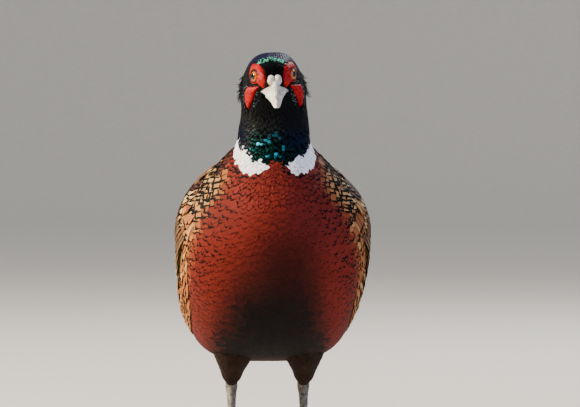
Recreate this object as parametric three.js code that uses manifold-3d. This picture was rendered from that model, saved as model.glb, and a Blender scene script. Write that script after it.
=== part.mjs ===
// A cock common pheasant standing alert, life size, in millimetres. The bird faces -Y, +Z is up
// and its own left side is +X. The floor is z = 0.
import * as THREE from 'three';
import { mergeVertices } from 'three/addons/utils/BufferGeometryUtils.js';
import Module from 'manifold-3d';

const wasm = await Module();
wasm.setup();

const degree = Math.PI / 180;
const gap = 0.3; // air between neighbouring pieces

// Driving dimensions
const breastToFeet = 115; // the breast's reach in front of the standing point
const tailTipBehindFeet = 615; // the longest tail feather's tip behind it
const headRoll = 3 * degree; // the head leans, its left eye the higher
const rollPivotHeight = 330;

// The body from tail to bill, one row for each named place along it. back and front are the two
// profiles in the side view as [y, z], half is the half width there, and the last two numbers say
// how square the section is towards the back and towards the belly, 2 being an ellipse.
const stations = [
  { place: 'tail root', back: [200, 173], front: [193, 138], half: 19, fullBack: 2.0, fullFront: 2.0 },
  { place: 'rump', back: [173, 189], front: [160, 121], half: 36, fullBack: 2.0, fullFront: 2.2 },
  { place: 'loin', back: [134, 209], front: [122, 106], half: 51.5, fullBack: 2.0, fullFront: 2.5 },
  { place: 'lower back', back: [92, 231], front: [80, 98], half: 64, fullBack: 2.0, fullFront: 3.1 },
  { place: 'mid back', back: [50, 250], front: [38, 98], half: 73, fullBack: 2.0, fullFront: 3.4 },
  { place: 'saddle', back: [12, 266], front: [-2, 107], half: 76, fullBack: 2.0, fullFront: 3.4 },
  { place: 'mantle', back: [-16, 279], front: [-46, 127], half: 79, fullBack: 2.1, fullFront: 2.9 },
  { place: 'shoulder', back: [-29, 289], front: [-85, 157], half: 79.5, fullBack: 1.7, fullFront: 2.4 },
  { place: 'breast', back: [-35, 298], front: [-108, 196], half: 67, fullBack: 1.5, fullFront: 2.2 },
  { place: 'upper breast', back: [-38, 305], front: [-113, 232], half: 43, fullBack: 1.8, fullFront: 2.1 },
  { place: 'collar foot', back: [-38, 311], front: [-105, 262], half: 33.5, fullBack: 2.0, fullFront: 2.0 },
  { place: 'collar top', back: [-37, 322], front: [-92, 289], half: 30.5, fullBack: 2.0, fullFront: 2.0 },
  { place: 'mid neck', back: [-37, 335], front: [-85, 310], half: 28.5, fullBack: 2.0, fullFront: 2.0 },
  { place: 'throat', back: [-40, 349], front: [-85, 323], half: 28.5, fullBack: 2.1, fullFront: 2.1 },
  { place: 'nape', back: [-47, 361], front: [-88, 330], half: 26, fullBack: 2.6, fullFront: 2.1 },
  { place: 'eye', back: [-57, 369], front: [-91, 334.5], half: 21.5, fullBack: 3.0, fullFront: 2.2 },
  { place: 'crown', back: [-70, 371], front: [-94, 338], half: 17, fullBack: 2.8, fullFront: 2.2 },
  { place: 'brow', back: [-82, 367], front: [-96.5, 341], half: 13, fullBack: 2.5, fullFront: 2.2 },
  { place: 'forehead', back: [-90, 360], front: [-98.5, 343.5], half: 9.8, fullBack: 2.2, fullFront: 2.2 },
  { place: 'bill root', back: [-94.5, 354], front: [-99.5, 345.5], half: 7.2, fullBack: 2.0, fullFront: 2.0 },
];
const place = Object.fromEntries(stations.map((row, i) => [row.place, i]));

// A smooth curve through evenly numbered values, read at s.
function smooth(values, s) {
  const last = values.length - 1;
  const i = Math.min(last - 1, Math.max(0, Math.floor(s)));
  const t = s - i;
  const at = (k) => {
    if (k < 0) return 2 * values[0] - values[1];
    if (k > last) return 2 * values[last] - values[last - 1];
    return values[k];
  };
  const [a, b, c, d] = [at(i - 1), at(i), at(i + 1), at(i + 2)];
  return b + 0.5 * t * (c - a + t * (2 * a - 5 * b + 4 * c - d + t * (3 * (b - c) + d - a)));
}

const mix = (a, b, t) => a + (b - a) * t;
const ease = (t) => t * t * (3 - 2 * t);
const clamp = (t) => Math.min(1, Math.max(0, t));

const column = (pick) => stations.map(pick);
const backY = column((row) => row.back[0]);
const backZ = column((row) => row.back[1]);
const frontY = column((row) => row.front[0]);
const frontZ = column((row) => row.front[1]);
const halves = column((row) => row.half);
const fullBacks = column((row) => row.fullBack);
const fullFronts = column((row) => row.fullFront);

// The section at s: its middle, the unit vector towards the back, its reach and its half width.
function section(s) {
  const back = new THREE.Vector3(0, smooth(backY, s), smooth(backZ, s));
  const front = new THREE.Vector3(0, smooth(frontY, s), smooth(frontZ, s));
  const middle = back.clone().add(front).multiplyScalar(0.5);
  const up = back.clone().sub(front);
  const reach = up.length() / 2;
  return { middle, up: up.normalize(), reach, half: smooth(halves, s) };
}

// How far the head's lean has taken hold at s.
const leanAt = (s) => ease(clamp((s - 10.5) / (place['mid neck'] - 10.5)));

function leaned(point, share) {
  const angle = -headRoll * share;
  const height = point.z - rollPivotHeight;
  const x = point.x * Math.cos(angle) + height * Math.sin(angle);
  const z = -point.x * Math.sin(angle) + height * Math.cos(angle);
  return new THREE.Vector3(x, point.y, z + rollPivotHeight);
}

// A point of the body's surface. The angle is 0 on the back, 90 degrees on the bird's left side.
function onBody(s, angle, lean = true) {
  const { middle, up, reach, half } = section(s);
  const c = Math.cos(angle);
  const n = Math.sin(angle);
  const power = 2 / smooth(c > 0 ? fullBacks : fullFronts, s);
  const x = half * Math.sign(n) * Math.abs(n) ** power;
  const along = reach * Math.sign(c) * Math.abs(c) ** power;
  const point = middle.clone().addScaledVector(up, along);
  point.x = x;
  return lean ? leaned(point, leanAt(s)) : point;
}

// The unit normal there, pointing out.
function bodyNormal(s, angle, lean = true) {
  const ds = 0.05;
  const da = 0.05;
  const along = onBody(s + ds, angle, lean).sub(onBody(s - ds, angle, lean));
  const round = onBody(s, angle + da, lean).sub(onBody(s, angle - da, lean));
  return along.cross(round).normalize();
}

function lifted(s, angle, height, lean = true) {
  return onBody(s, angle, lean).addScaledVector(bodyNormal(s, angle, lean), height);
}

// A closed solid from vertices and triangles, turned the right way out.
function solidOf(points, triangles) {
  let volume = 0;
  for (const [a, b, c] of triangles) {
    volume += points[a].dot(points[b].clone().cross(points[c]));
  }
  const order = volume < 0 ? triangles.map(([a, b, c]) => [a, c, b]) : triangles;
  const mesh = new wasm.Mesh({
    numProp: 3,
    vertProperties: new Float32Array(points.flatMap((p) => [p.x, p.y, p.z])),
    triVerts: new Uint32Array(order.flat()),
  });
  return new wasm.Manifold(mesh);
}

// A solid from a closed three.js geometry, placed by a matrix.
function solidFrom(geometry, matrix) {
  geometry.deleteAttribute('normal');
  geometry.deleteAttribute('uv');
  const merged = mergeVertices(geometry, 1e-4).applyMatrix4(matrix);
  const at = merged.attributes.position;
  const points = Array.from({ length: at.count }, (_, i) => (
    new THREE.Vector3().fromBufferAttribute(at, i)
  ));
  const index = merged.index.array;
  const triangles = [];
  for (let i = 0; i < index.length; i += 3) {
    const [a, b, c] = index.slice(i, i + 3);
    if (a !== b && b !== c && c !== a) triangles.push([a, b, c]);
  }
  return solidOf(points, triangles);
}

// A ball or egg of the given radii, its poles turned towards a direction.
function ball(middle, radii, segments, rows, poles = new THREE.Vector3(0, 1, 0)) {
  const turn = new THREE.Quaternion().setFromUnitVectors(new THREE.Vector3(0, 1, 0), poles);
  const matrix = new THREE.Matrix4().compose(middle, turn, new THREE.Vector3(...radii));
  return solidFrom(new THREE.SphereGeometry(1, segments, rows), matrix);
}

// A skin over rings of equal count, closed by a fan at each end.
function loft(rings) {
  const count = rings[0].length;
  const points = rings.flat();
  const triangles = [];
  for (let i = 0; i + 1 < rings.length; i++) {
    for (let j = 0; j < count; j++) {
      const a = i * count + j;
      const b = i * count + ((j + 1) % count);
      triangles.push([a, b, b + count], [a, b + count, a + count]);
    }
  }
  const first = points.length;
  points.push(middleOf(rings[0]), middleOf(rings.at(-1)));
  const top = (rings.length - 1) * count;
  for (let j = 0; j < count; j++) {
    const k = (j + 1) % count;
    triangles.push([first, k, j], [first + 1, top + j, top + k]);
  }
  return solidOf(points, triangles);
}

function middleOf(ring) {
  return ring.reduce((sum, p) => sum.add(p), new THREE.Vector3()).multiplyScalar(1 / ring.length);
}

// The body between two places, with sections every step, lifted off its surface by height.
function bodyLoft(from, to, step, around, height = 0, lean = true) {
  const rings = [];
  const count = Math.round((to - from) / step);
  for (let i = 0; i <= count; i++) {
    const s = mix(from, to, i / count);
    rings.push(Array.from({ length: around }, (_, j) => {
      const angle = (j / around) * 2 * Math.PI;
      return height ? lifted(s, angle, height, lean) : onBody(s, angle, lean);
    }));
  }
  return loft(rings);
}

// Keeps what lies past the section at s, towards the bill if ahead is 1 and the tail if it is -1.
function keepPast(solid, s, ahead, lean = true) {
  const share = lean ? leanAt(s) : 0;
  const { middle, up } = section(s);
  const origin = leaned(middle, share);
  const across = leaned(middle.clone().add(up), share).sub(origin);
  const side = leaned(middle.clone().add(new THREE.Vector3(1, 0, 0)), share).sub(origin);
  const normal = across.cross(side).normalize();
  const forward = leaned(section(s + 0.1).middle, share).sub(leaned(section(s - 0.1).middle, share));
  if (normal.dot(forward) * ahead < 0) normal.negate();
  return solid.trimByPlane(normal.toArray(), normal.dot(origin) + gap / 2);
}

// Keeps what lies beyond a point in a direction, short of it by half the gap.
function keepSide(solid, point, direction) {
  const normal = direction.clone().normalize();
  return solid.trimByPlane(normal.toArray(), normal.dot(point) + gap / 2);
}

const fused = (solids) => solids.reduce((whole, piece) => whole.add(piece));

function largest(solid) {
  return solid.decompose().reduce((a, b) => (b.volume() > a.volume() ? b : a));
}

const mirrored = (solid) => solid.mirror([1, 0, 0]);

// Rings square to a path of [x, y, z, across, deep] rows, run smoothly through them. swell gives
// each ring's own share of the size.
const sideways = new THREE.Vector3(1, 0, 0);
function tube(rows, sides, steps, side = sideways, swell = () => 1) {
  const at = (t) => rows[0].map((_, k) => smooth(rows.map((row) => row[k]), t));
  const rings = [];
  for (let i = 0; i <= steps; i++) {
    const t = (i / steps) * (rows.length - 1);
    const [x, y, z, across, deep] = at(t);
    const before = new THREE.Vector3(...at(Math.max(0, t - 0.05)).slice(0, 3));
    const after = new THREE.Vector3(...at(Math.min(rows.length - 1, t + 0.05)).slice(0, 3));
    const forward = after.sub(before).normalize();
    const out = side.clone().addScaledVector(forward, -side.dot(forward)).normalize();
    const up = forward.clone().cross(out);
    rings.push(Array.from({ length: sides }, (_, j) => {
      const angle = ((j + 0.5) / sides) * 2 * Math.PI;
      return new THREE.Vector3(x, y, z)
        .addScaledVector(out, across * swell(i) * Math.cos(angle))
        .addScaledVector(up, deep * swell(i) * Math.sin(angle));
    }));
  }
  return loft(rings);
}

// A cushion over part of a surface: put maps (a, b, height) to a point, rim gives the outline
// round the middle, and rise the height at a share of the way out from the middle.
function cushion({ put, middle, rim, spokes, rings, rise, sink }) {
  const points = [];
  const triangles = [];
  for (const outer of [true, false]) {
    const start = points.length;
    points.push(put(middle[0], middle[1], outer ? rise(0, 0) : -sink));
    for (let i = 1; i <= rings; i++) {
      const share = i / rings;
      for (let j = 0; j < spokes; j++) {
        const angle = (j / spokes) * 2 * Math.PI;
        const [a, b] = rim(angle);
        const height = outer ? rise(share, angle) : -sink;
        points.push(put(mix(middle[0], a, share), mix(middle[1], b, share), height));
      }
    }
    for (let j = 0; j < spokes; j++) {
      const k = (j + 1) % spokes;
      const fan = [start, start + 1 + j, start + 1 + k];
      triangles.push(outer ? fan : [fan[0], fan[2], fan[1]]);
      for (let i = 0; i + 1 < rings; i++) {
        const a = start + 1 + i * spokes + j;
        const b = start + 1 + i * spokes + k;
        const pair = [[a, a + spokes, b + spokes], [a, b + spokes, b]];
        triangles.push(...(outer ? pair : pair.map(([p, q, r]) => [p, r, q])));
      }
    }
  }
  const outerRim = 1 + (rings - 1) * spokes;
  const innerRim = outerRim + 1 + rings * spokes;
  for (let j = 0; j < spokes; j++) {
    const k = (j + 1) % spokes;
    triangles.push([outerRim + j, innerRim + j, innerRim + k]);
    triangles.push([outerRim + j, innerRim + k, outerRim + k]);
  }
  return solidOf(points, triangles);
}

// A thin closed sheet over rows of { point, normal }, its two faces split into triangles alike.
function sheet(rows, thickness) {
  const across = rows[0].length;
  const points = rows.flatMap((row) => [0.5, -0.5].flatMap((side) => (
    row.map(({ point, normal }) => point.clone().addScaledVector(normal, side * thickness))
  )));
  const top = (i, j) => i * 2 * across + j;
  const under = (i, j) => top(i, j) + across;
  const triangles = [];
  const quad = (a, b, c, d) => triangles.push([a, b, c], [a, c, d]);
  const end = rows.length - 1;
  const edge = across - 1;
  for (let i = 0; i < end; i++) {
    for (let j = 0; j < edge; j++) {
      quad(top(i, j), top(i, j + 1), top(i + 1, j + 1), top(i + 1, j));
      triangles.push([under(i, j), under(i + 1, j + 1), under(i, j + 1)]);
      triangles.push([under(i, j), under(i + 1, j), under(i + 1, j + 1)]);
    }
    quad(top(i, 0), top(i + 1, 0), under(i + 1, 0), under(i, 0));
    quad(top(i, edge), under(i, edge), under(i + 1, edge), top(i + 1, edge));
  }
  for (let j = 0; j < edge; j++) {
    quad(top(0, j), under(0, j), under(0, j + 1), top(0, j + 1));
    quad(top(end, j + 1), under(end, j + 1), under(end, j), top(end, j));
  }
  return solidOf(points, triangles);
}

const vaneThickness = 0.5;
const roundTip = [[0, 0.5], [0.3, 0.95], [0.7, 1], [0.92, 0.75], [1, 0.3]];
const longTip = [[0, 0.45], [0.12, 0.95], [0.5, 0.9], [0.85, 0.55], [1, 0.08]];

// A feather, a sheet along a path. path(t) gives the point and the outward normal at a share t of the
// way from root to tip, and outline lists [t, share of the width]. tilt raises the one edge, ridge
// the middle over both edges, and shift moves the vane across the path by that many half widths.
function feather({ path, width, outline, tilt = 0, ridge = 0, shift = 0 }) {
  const step = 0.02;
  return sheet(outline.map(([t, share]) => {
    const { point, normal } = path(t);
    const ahead = path(Math.min(1, t + step)).point.sub(path(Math.max(0, t - step)).point).normalize();
    const out = ahead.clone().cross(normal).normalize();
    const half = width * share / 2;
    return (ridge ? [-1, 0, 1] : [-1, 1]).map((side) => {
      const across = (side + shift) * half;
      const raised = across * tilt - Math.abs(side) * half * ridge;
      const place = point.clone().addScaledVector(out, across).addScaledVector(normal, raised);
      return { point: place, normal };
    });
  }), vaneThickness);
}

// Torso, collar and neck, parted where a person would name them
const around = 28;
const overrun = 0.25; // how far each is drawn past its cuts before they are made
const torso = keepPast(
  bodyLoft(0, place['collar foot'] + overrun, 0.5, around), place['collar foot'], -1,
);
const torsoClear = bodyLoft(-0.2, place['collar foot'] + overrun, 0.5, around, gap);

function neckPart(from, to) {
  const whole = bodyLoft(place[from] - overrun, place[to] + overrun, 0.25, around);
  return keepPast(keepPast(whole, place[from], 1), place[to], -1);
}
const collar = neckPart('collar foot', 'collar top');
const neck = neckPart('collar top', 'mid neck');

// Head. It is made upright and leaned by its group.
const eye = { radius: 7.2, forward: 55 * degree, proud: 1.8, opening: 5.1 };
eye.surface = onBody(place.crown, 100.5 * degree, false);
eye.out = new THREE.Vector3(Math.sin(eye.forward), -Math.cos(eye.forward), 0.04).normalize();
eye.middle = eye.surface.clone().addScaledVector(eye.out, eye.proud - eye.radius);

const eyeBall = (extra) => ball(eye.middle, Array(3).fill(eye.radius + extra), 12, 8, eye.out);
const headSurface = bodyLoft(place['mid neck'] - 0.5, place['bill root'], 0.5, around, 0, false);
const headClear = bodyLoft(place['mid neck'] - 0.5, place['bill root'] + 0.1, 0.5, around, gap, false);
const eyeHollow = eyeBall(gap);
const bareHead = keepPast(headSurface, place['mid neck'], 1, false)
  .subtract(eyeHollow).subtract(mirrored(eyeHollow));

// Ear tufts, two short feathers raised behind each eye
function earFeather(rank) {
  const root = onBody(place.throat + 0.35 - 0.12 * rank, (46 + 9 * rank) * degree, false);
  const normal = bodyNormal(place.throat, 50 * degree, false);
  const reach = new THREE.Vector3(0.62, 0.75, 0.4 - 0.25 * rank).normalize();
  return feather({
    path: (t) => ({ point: root.clone().addScaledVector(reach, mix(-4, 9.5 - 1.5 * rank, t)), normal }),
    width: 5,
    outline: roundTip,
  });
}
const tuft = fused([earFeather(0), earFeather(1)]);
const head = largest(fused([bareHead, tuft, mirrored(tuft)]));

// Bill: each half is a row of rings [y, top, bottom, half width at the top, half width at the
// bottom]. The upper half flares into the corners of the mouth and hooks over the lower one.
const upperBill = [
  [-84, 352, 338, 3.6, 12.6],
  [-92, 351.5, 337, 3.4, 12.2],
  [-96, 350, 335.4, 3.2, 10.6],
  [-100, 347.5, 332.8, 3.1, 8.2],
  [-105, 342.8, 329.6, 2.8, 6.2],
  [-110, 335.5, 326.2, 2.2, 4.6],
  [-114.6, 325.5, 322.6, 1.1, 1.9],
];
const lowerBill = [
  [-84, 338, 330, 9.5, 8],
  [-92, 336, 328.6, 8.6, 6.4],
  [-99, 333, 326.6, 6.6, 4.6],
  [-105, 330, 324.8, 4.6, 3],
  [-109.5, 327.4, 323.6, 2.4, 1.6],
];
const billSides = 12;
const billFlare = 1.6;

function billHalf(rows, steps, flared, grown = 0) {
  return loft(Array.from({ length: steps + 1 }, (_, i) => {
    const at = (i / steps) * (rows.length - 1);
    const read = (k) => smooth(rows.map((row) => row[k]), at);
    const [y, top, bottom, halfTop, halfBottom] = [0, 1, 2, 3, 4].map(read);
    return Array.from({ length: billSides }, (_, j) => {
      const angle = ((j + 0.5) / billSides) * 2 * Math.PI;
      const [across, up] = [Math.cos(angle), Math.sin(angle)];
      const rise = flared ? Math.max(0, up) : (1 + up) / 2;
      const half = mix(halfTop, halfBottom, (1 - rise) ** (flared ? billFlare : 1)) + grown;
      const x = half * (flared ? Math.sign(across) * Math.sqrt(Math.abs(across)) : across);
      return new THREE.Vector3(x, y, mix(bottom - grown, top + grown, rise));
    });
  }));
}

// The soft lids over the nostrils, and the slits under them
const nostrilLid = { middle: [3.3, -97.5, 347.2], radii: [3.5, 5.4, 4.8] };
const nostril = { middle: [7.2, -98.5, 342.2], radii: [2.2, 3.4, 0.8] };
const egg = ({ middle, radii }) => ball(new THREE.Vector3(...middle), radii, 8, 5);
const bothSides = (solid) => solid.add(mirrored(solid));
const billUpper = largest(
  billHalf(upperBill, 8, true).add(bothSides(egg(nostrilLid)))
    .subtract(bothSides(egg(nostril))).subtract(headClear),
);
const billLower = largest(
  billHalf(lowerBill, 5, false).subtract(headClear).subtract(billHalf(upperBill, 8, true, gap)),
);

// Face wattle: two lobes of bare skin round the eye, drawn as [forward, up] from the eye's middle
const wattle = { thickness: 1.5, folds: 4, foldDepth: 0.22 };
const upperLobe = [
  [-7.5, -1], [-10, 4.5], [-10.2, 9], [-7, 11.4], [0, 11], [7, 8.4], [11.8, 3.8], [15.2, -2.6],
  [13.4, -7.6], [10.5, -11], [8.6, -7.4], [4.9, -6.4], [-3, -6.2],
];
const lowerLobe = [
  [5.8, -8.9], [1.2, -13], [-2.6, -18], [-7, -23.5], [-10.6, -28], [-13, -24.5], [-13.8, -19.5],
  [-13.2, -14.5], [-10, -9.2], [-3, -8.8],
];
const faceForward = new THREE.Vector3(-Math.cos(eye.forward), -Math.sin(eye.forward), 0);
const headMesh = meshOf(headSurface);
const ray = new THREE.Raycaster();

// The head's skin seen straight onto the eye, with height counted along that sight line.
function onFace(forward, up, height) {
  const start = eye.surface.clone().addScaledVector(faceForward, forward).addScaledVector(eye.out, 40);
  start.z += up;
  ray.set(start, eye.out.clone().negate());
  const hit = ray.intersectObject(headMesh)[0];
  return hit.point.clone().addScaledVector(eye.out, height);
}

function lobe(outline) {
  const closed = new THREE.CatmullRomCurve3(outline.map(([a, b]) => new THREE.Vector3(a, b, 0)), true);
  const middle = middleOf(closed.points);
  return cushion({
    put: onFace,
    middle: [middle.x, middle.y],
    rim: (angle) => {
      const point = closed.getPoint(angle / (2 * Math.PI));
      return [point.x, point.y];
    },
    spokes: 14,
    rings: 2,
    rise: (share, angle) => wattle.thickness * Math.sqrt(1 - 0.75 * share ** 2)
      + wattle.foldDepth * share * Math.cos(wattle.folds * angle),
    sink: 1.5,
  });
}

// The opening for the eye, with a round lid along its edge
const lid = { thick: 0.9, long: 1.08 };
const eyeTurn = new THREE.Quaternion().setFromUnitVectors(new THREE.Vector3(0, 0, 1), eye.out);
const lidHeight = Math.sqrt(eye.radius ** 2 - eye.opening ** 2) + lid.thick * 0.75;
const lidAt = new THREE.Matrix4().compose(
  eye.middle.clone().addScaledVector(eye.out, lidHeight), eyeTurn, new THREE.Vector3(lid.long, 1, 1),
);
const lidRing = solidFrom(new THREE.TorusGeometry(eye.opening + 0.5, lid.thick, 5, 12), lidAt);
const openingRows = [3, 12].map((out) => (
  [...eye.middle.clone().addScaledVector(eye.out, out).toArray(), eye.opening * lid.long, eye.opening]
));
const eyeOpening = tube(openingRows, 12, 1, faceForward);

// Bulbs of swollen skin, as [forward, up, radius]
const bulbs = [[-1.5, -8, 1.8], [7, -8, 1.7], [-8, -17, 2], [12.2, -2.5, 1.9]];
const bulbSolids = bulbs.map(([forward, up, radius]) => (
  ball(onFace(forward, up, wattle.thickness * 0.6), [radius, radius, radius], 6, 4, eye.out)
));
const wattleSkin = largest(
  fused([lobe(upperLobe), lobe(lowerLobe), ...bulbSolids]).subtract(eyeOpening).add(lidRing)
    .subtract(headClear).subtract(eyeHollow),
);

// Wing, folded: a low cushion for the arm, with feathers in tiers along rays from the upper to the
// lower edge. Each ray's tiers lie over each other, the small feathers of the fore part on top.
const arm = { middle: [4.9, 74 * degree], reach: [2.35, 30 * degree], height: 3.1 };
const rays = 6;
const rayRoot = [50, 100];
const rayTip = [42, 96];
const firstTier = 4.2;
const tierStep = 0.8;
const wingTiers = [
  { from: [4.8, 4.6], to: [2.3, 1.8], width: 20 },
  { from: [5.9, 5.8], to: [4.1, 3.9], width: 21 },
  { from: [7.0, 6.8], to: [5.3, 5.1], width: 21 },
];
const rootHeight = 2;

// A feather of the wing from one [s, degrees] to another, its lower edge raised over the next.
function wingFeather({ from, to, low, high, width, tilt }) {
  return feather({
    path: (t) => {
      const s = mix(from[0], to[0], t);
      const angle = mix(from[1], to[1], t) * degree;
      return { point: lifted(s, angle, mix(low, high, clamp(t / 0.3))), normal: bodyNormal(s, angle) };
    },
    width,
    tilt,
    outline: roundTip,
  });
}

const wingArm = cushion({
  put: (s, angle, height) => lifted(s, angle, height),
  middle: arm.middle,
  rim: (angle) => [
    arm.middle[0] + arm.reach[0] * Math.cos(angle), arm.middle[1] + arm.reach[1] * Math.sin(angle),
  ],
  spokes: 16,
  rings: 3,
  rise: (share) => 0.6 + arm.height * Math.sqrt(1 - share ** 4),
  sink: 1,
});
const wingRows = wingTiers.flatMap(({ from, to, width }, tier) => (
  Array.from({ length: rays }, (_, k) => {
    const u = k / (rays - 1);
    return wingFeather({
      from: [mix(from[0], from[1], u), mix(rayRoot[0], rayRoot[1], u)],
      to: [mix(to[0], to[1], u), mix(rayTip[0], rayTip[1], u)],
      low: rootHeight, high: firstTier + tier * tierStep, width, tilt: 0.13,
    });
  })
));
const handFeathers = 4;
const hand = Array.from({ length: handFeathers }, (_, k) => {
  const u = k / (handFeathers - 1);
  return wingFeather({
    from: [3.2, mix(66, 92, u)], to: [mix(0.7, 1.35, u), mix(58, 84, u)],
    low: 1.6, high: 1.2 + 0.35 * (handFeathers - 1 - k), width: 13, tilt: 0.1,
  });
});
const wing = largest(fused([wingArm, ...wingRows, ...hand]).subtract(torsoClear));

// Tail: a plug over the torso's end holds the middle pair of feathers and eight pairs under them,
// like a roof of low pitch, with short coverts round their roots
const tailRoot = 205;
const tailLength = tailTipBehindFeet - tailRoot;
const tailPitch = 0.25;
const tailStep = 1.1;
const ridgeHeight = 5;
const tailPairs = 8;

function tailLine(y) {
  const share = (y - tailRoot) / tailLength;
  return new THREE.Vector3(0, y, 157 + 12 * share - 3 * share ** 2);
}

function tailFeather({ length, width, height, x, fan, ...shape }) {
  return feather({
    path: (t) => {
      const point = tailLine(tailRoot + length * t);
      point.z += height;
      point.x = x + fan * t;
      return { point, normal: new THREE.Vector3(0, 0, 1) };
    },
    width,
    outline: longTip,
    ...shape,
  });
}

const middlePair = [
  { length: tailLength - 8, width: 29, height: ridgeHeight + 0.6, x: 1.8, fan: 0, ridge: tailPitch },
  { length: tailLength, width: 29, height: ridgeHeight + 2.8, x: -1.8, fan: 0, ridge: tailPitch },
].map(tailFeather);
const sidePairs = Array.from({ length: tailPairs }, (_, k) => {
  const rank = k + 1;
  const length = tailLength * (0.2 + 0.8 * (1 - rank / 8.5) ** 1.6);
  return [-1, 1].map((side) => tailFeather({
    length, width: 28 - 0.8 * rank, height: ridgeHeight - tailStep * rank,
    x: 0.4 * side, fan: 1.2 * rank * side, tilt: -tailPitch * side, shift: side,
  }));
}).flat();

// The egg-shaped wrap of the tail's base, as rows of [y, half width, half height]
const wrapRows = [[190, 20, 17], [215, 22, 14], [250, 26, 11.5], [310, 30, 10]];
function onWrap(y, angle, height) {
  const share = (y - wrapRows[0][0]) / (wrapRows.at(-1)[0] - wrapRows[0][0]) * (wrapRows.length - 1);
  const wide = smooth(wrapRows.map((row) => row[1]), share);
  const deep = smooth(wrapRows.map((row) => row[2]), share);
  const normal = new THREE.Vector3(Math.sin(angle) / wide, 0, Math.cos(angle) / deep).normalize();
  const point = tailLine(y).add(new THREE.Vector3(wide * Math.sin(angle), 0, deep * Math.cos(angle)));
  return { point: point.addScaledVector(normal, height), normal };
}

// Coverts round the tail's base: rank 0 is the middle one, the longest, over its neighbours.
function covert({ middle, rank, side, spacing, length, high }) {
  const angle = (middle + side * rank * spacing) * degree;
  return feather({
    path: (t) => onWrap(mix(198, 198 + length, t), angle, mix(-3.5, high, clamp(t / 0.3))),
    width: 22,
    shift: rank ? 0.5 * side * Math.sign(Math.cos(angle)) : 0,
    outline: roundTip,
  });
}
const upperCoverts = [0, 1, 2, 3].flatMap((rank) => (rank ? [-1, 1] : [1]).map((side) => covert({
  middle: 0, rank, side, spacing: 27, length: 96 - 8 * rank, high: 3.8 - 1.1 * rank,
})));
const underCoverts = [0, 1].flatMap((rank) => (rank ? [-1, 1] : [1]).map((side) => covert({
  middle: 180, rank, side, spacing: 32, length: 70 - 8 * rank, high: 2.2 - 1.1 * rank,
})));
const plugRows = [
  [0, 180, 157, 22, 22], [0, 202, 156.5, 20, 16.5], [0, 224, 157.5, 19, 11.5], [0, 246, 158, 16, 7],
];
const tail = largest(
  fused([tube(plugRows, 10, 3), ...middlePair, ...sidePairs, ...upperCoverts, ...underCoverts])
    .subtract(torsoClear),
);

// Legs
const legSide = 32;
const hock = new THREE.Vector3(legSide, 48.4, 78.5);
const downTheLeg = new THREE.Vector3(0, 0.6, -0.8);
const thighRows = [
  [30, 18, 142, 26, 24],
  [31, 26, 112, 20, 20],
  [32, 38, 92, 11, 12],
  [legSide, 50, 76, 6.5, 7],
];
const shankRows = [
  [legSide, 46.6, 81, 5, 5.6],
  [legSide, 50, 75, 5.4, 6.2],
  [legSide, 47, 64, 3.9, 4.6],
  [legSide, 41, 42, 3.5, 4.2],
  [legSide, 34, 20, 3.8, 4.5],
  [legSide, 30.5, 10.6, 5, 5],
];
const thigh = largest(
  keepSide(tube(thighRows, 14, 8), hock, downTheLeg.clone().negate()).subtract(torsoClear),
);
const shankSides = 11;
const scutes = 10;
const scuteStep = 0.05; // each plate's lower edge stands out by this share
const scuted = (i) => 1 + scuteStep * (i % 2);
const shank = keepSide(tube(shankRows, shankSides, 2 * scutes, sideways, scuted), hock, downTheLeg);
const toeRoot = [legSide, 29, 6];
const toes = [
  { name: 'middle', heading: 4, length: 44, thick: 4.2 },
  { name: 'inner', heading: -36, length: 31, thick: 3.8 },
  { name: 'outer', heading: 40, length: 34, thick: 3.8 },
  { name: 'hind', heading: 172, length: 15, thick: 3.2 },
];
const claw = { length: 9.5, thick: 2.1 };
const soleHeight = 0.88; // a toe's middle over the floor, as a share of its thickness
const toeTaper = 0.72;
const toePad = 0.07; // how far the pads between the toe's joints swell

function toeRows({ heading, length, thick }) {
  const [x, y] = toeRoot;
  const ahead = [Math.sin(heading * degree), -Math.cos(heading * degree)];
  return [0, 0.35, 0.7, 1].map((t) => {
    const radius = thick * mix(1, toeTaper, t);
    return [x + ahead[0] * length * t, y + ahead[1] * length * t, radius * soleHeight, radius, radius];
  });
}

function sideOf({ heading }) {
  return new THREE.Vector3(Math.cos(heading * degree), Math.sin(heading * degree), 0);
}

function clawRows({ heading, length, thick }) {
  const [x, y] = toeRoot;
  const ahead = [Math.sin(heading * degree), -Math.cos(heading * degree)];
  return [0, 0.5, 1].map((t) => [
    x + ahead[0] * (length + gap + claw.length * t),
    y + ahead[1] * (length + gap + claw.length * t),
    mix(thick * toeTaper * soleHeight, 0.7, t * t), mix(claw.thick, 0.5, t), mix(claw.thick, 0.5, t),
  ]);
}

const floorCut = (solid) => solid.trimByPlane([0, 0, 1], 0);
const footKnuckle = ball(new THREE.Vector3(...toeRoot), [6.4, 6.6, 6.6], 10, 6);
const widerShank = shankRows.map(([x, y, z, across, deep]) => [x, y, z, across + gap, deep + gap]);
const shankClear = tube(widerShank, shankSides, 2 * scutes, sideways, scuted);
const padded = (i) => 1 + toePad * (i % 2);
const footTop = 10.2;
const foot = largest(
  floorCut(fused([footKnuckle, ...toes.map((toe) => tube(toeRows(toe), 6, 5, sideOf(toe), padded))]))
    .trimByPlane([0, 0, -1], -footTop).subtract(shankClear),
);

// The spur, a horny cone on the inner rear side of the shank
const spurRows = [[30, 39, 29, 2.9, 3.1], [27.6, 43, 30, 2.2, 2.3], [24.6, 48.4, 32.4, 0.5, 0.5]];
const spur = largest(tube(spurRows, 8, 4).subtract(shankClear));

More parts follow.
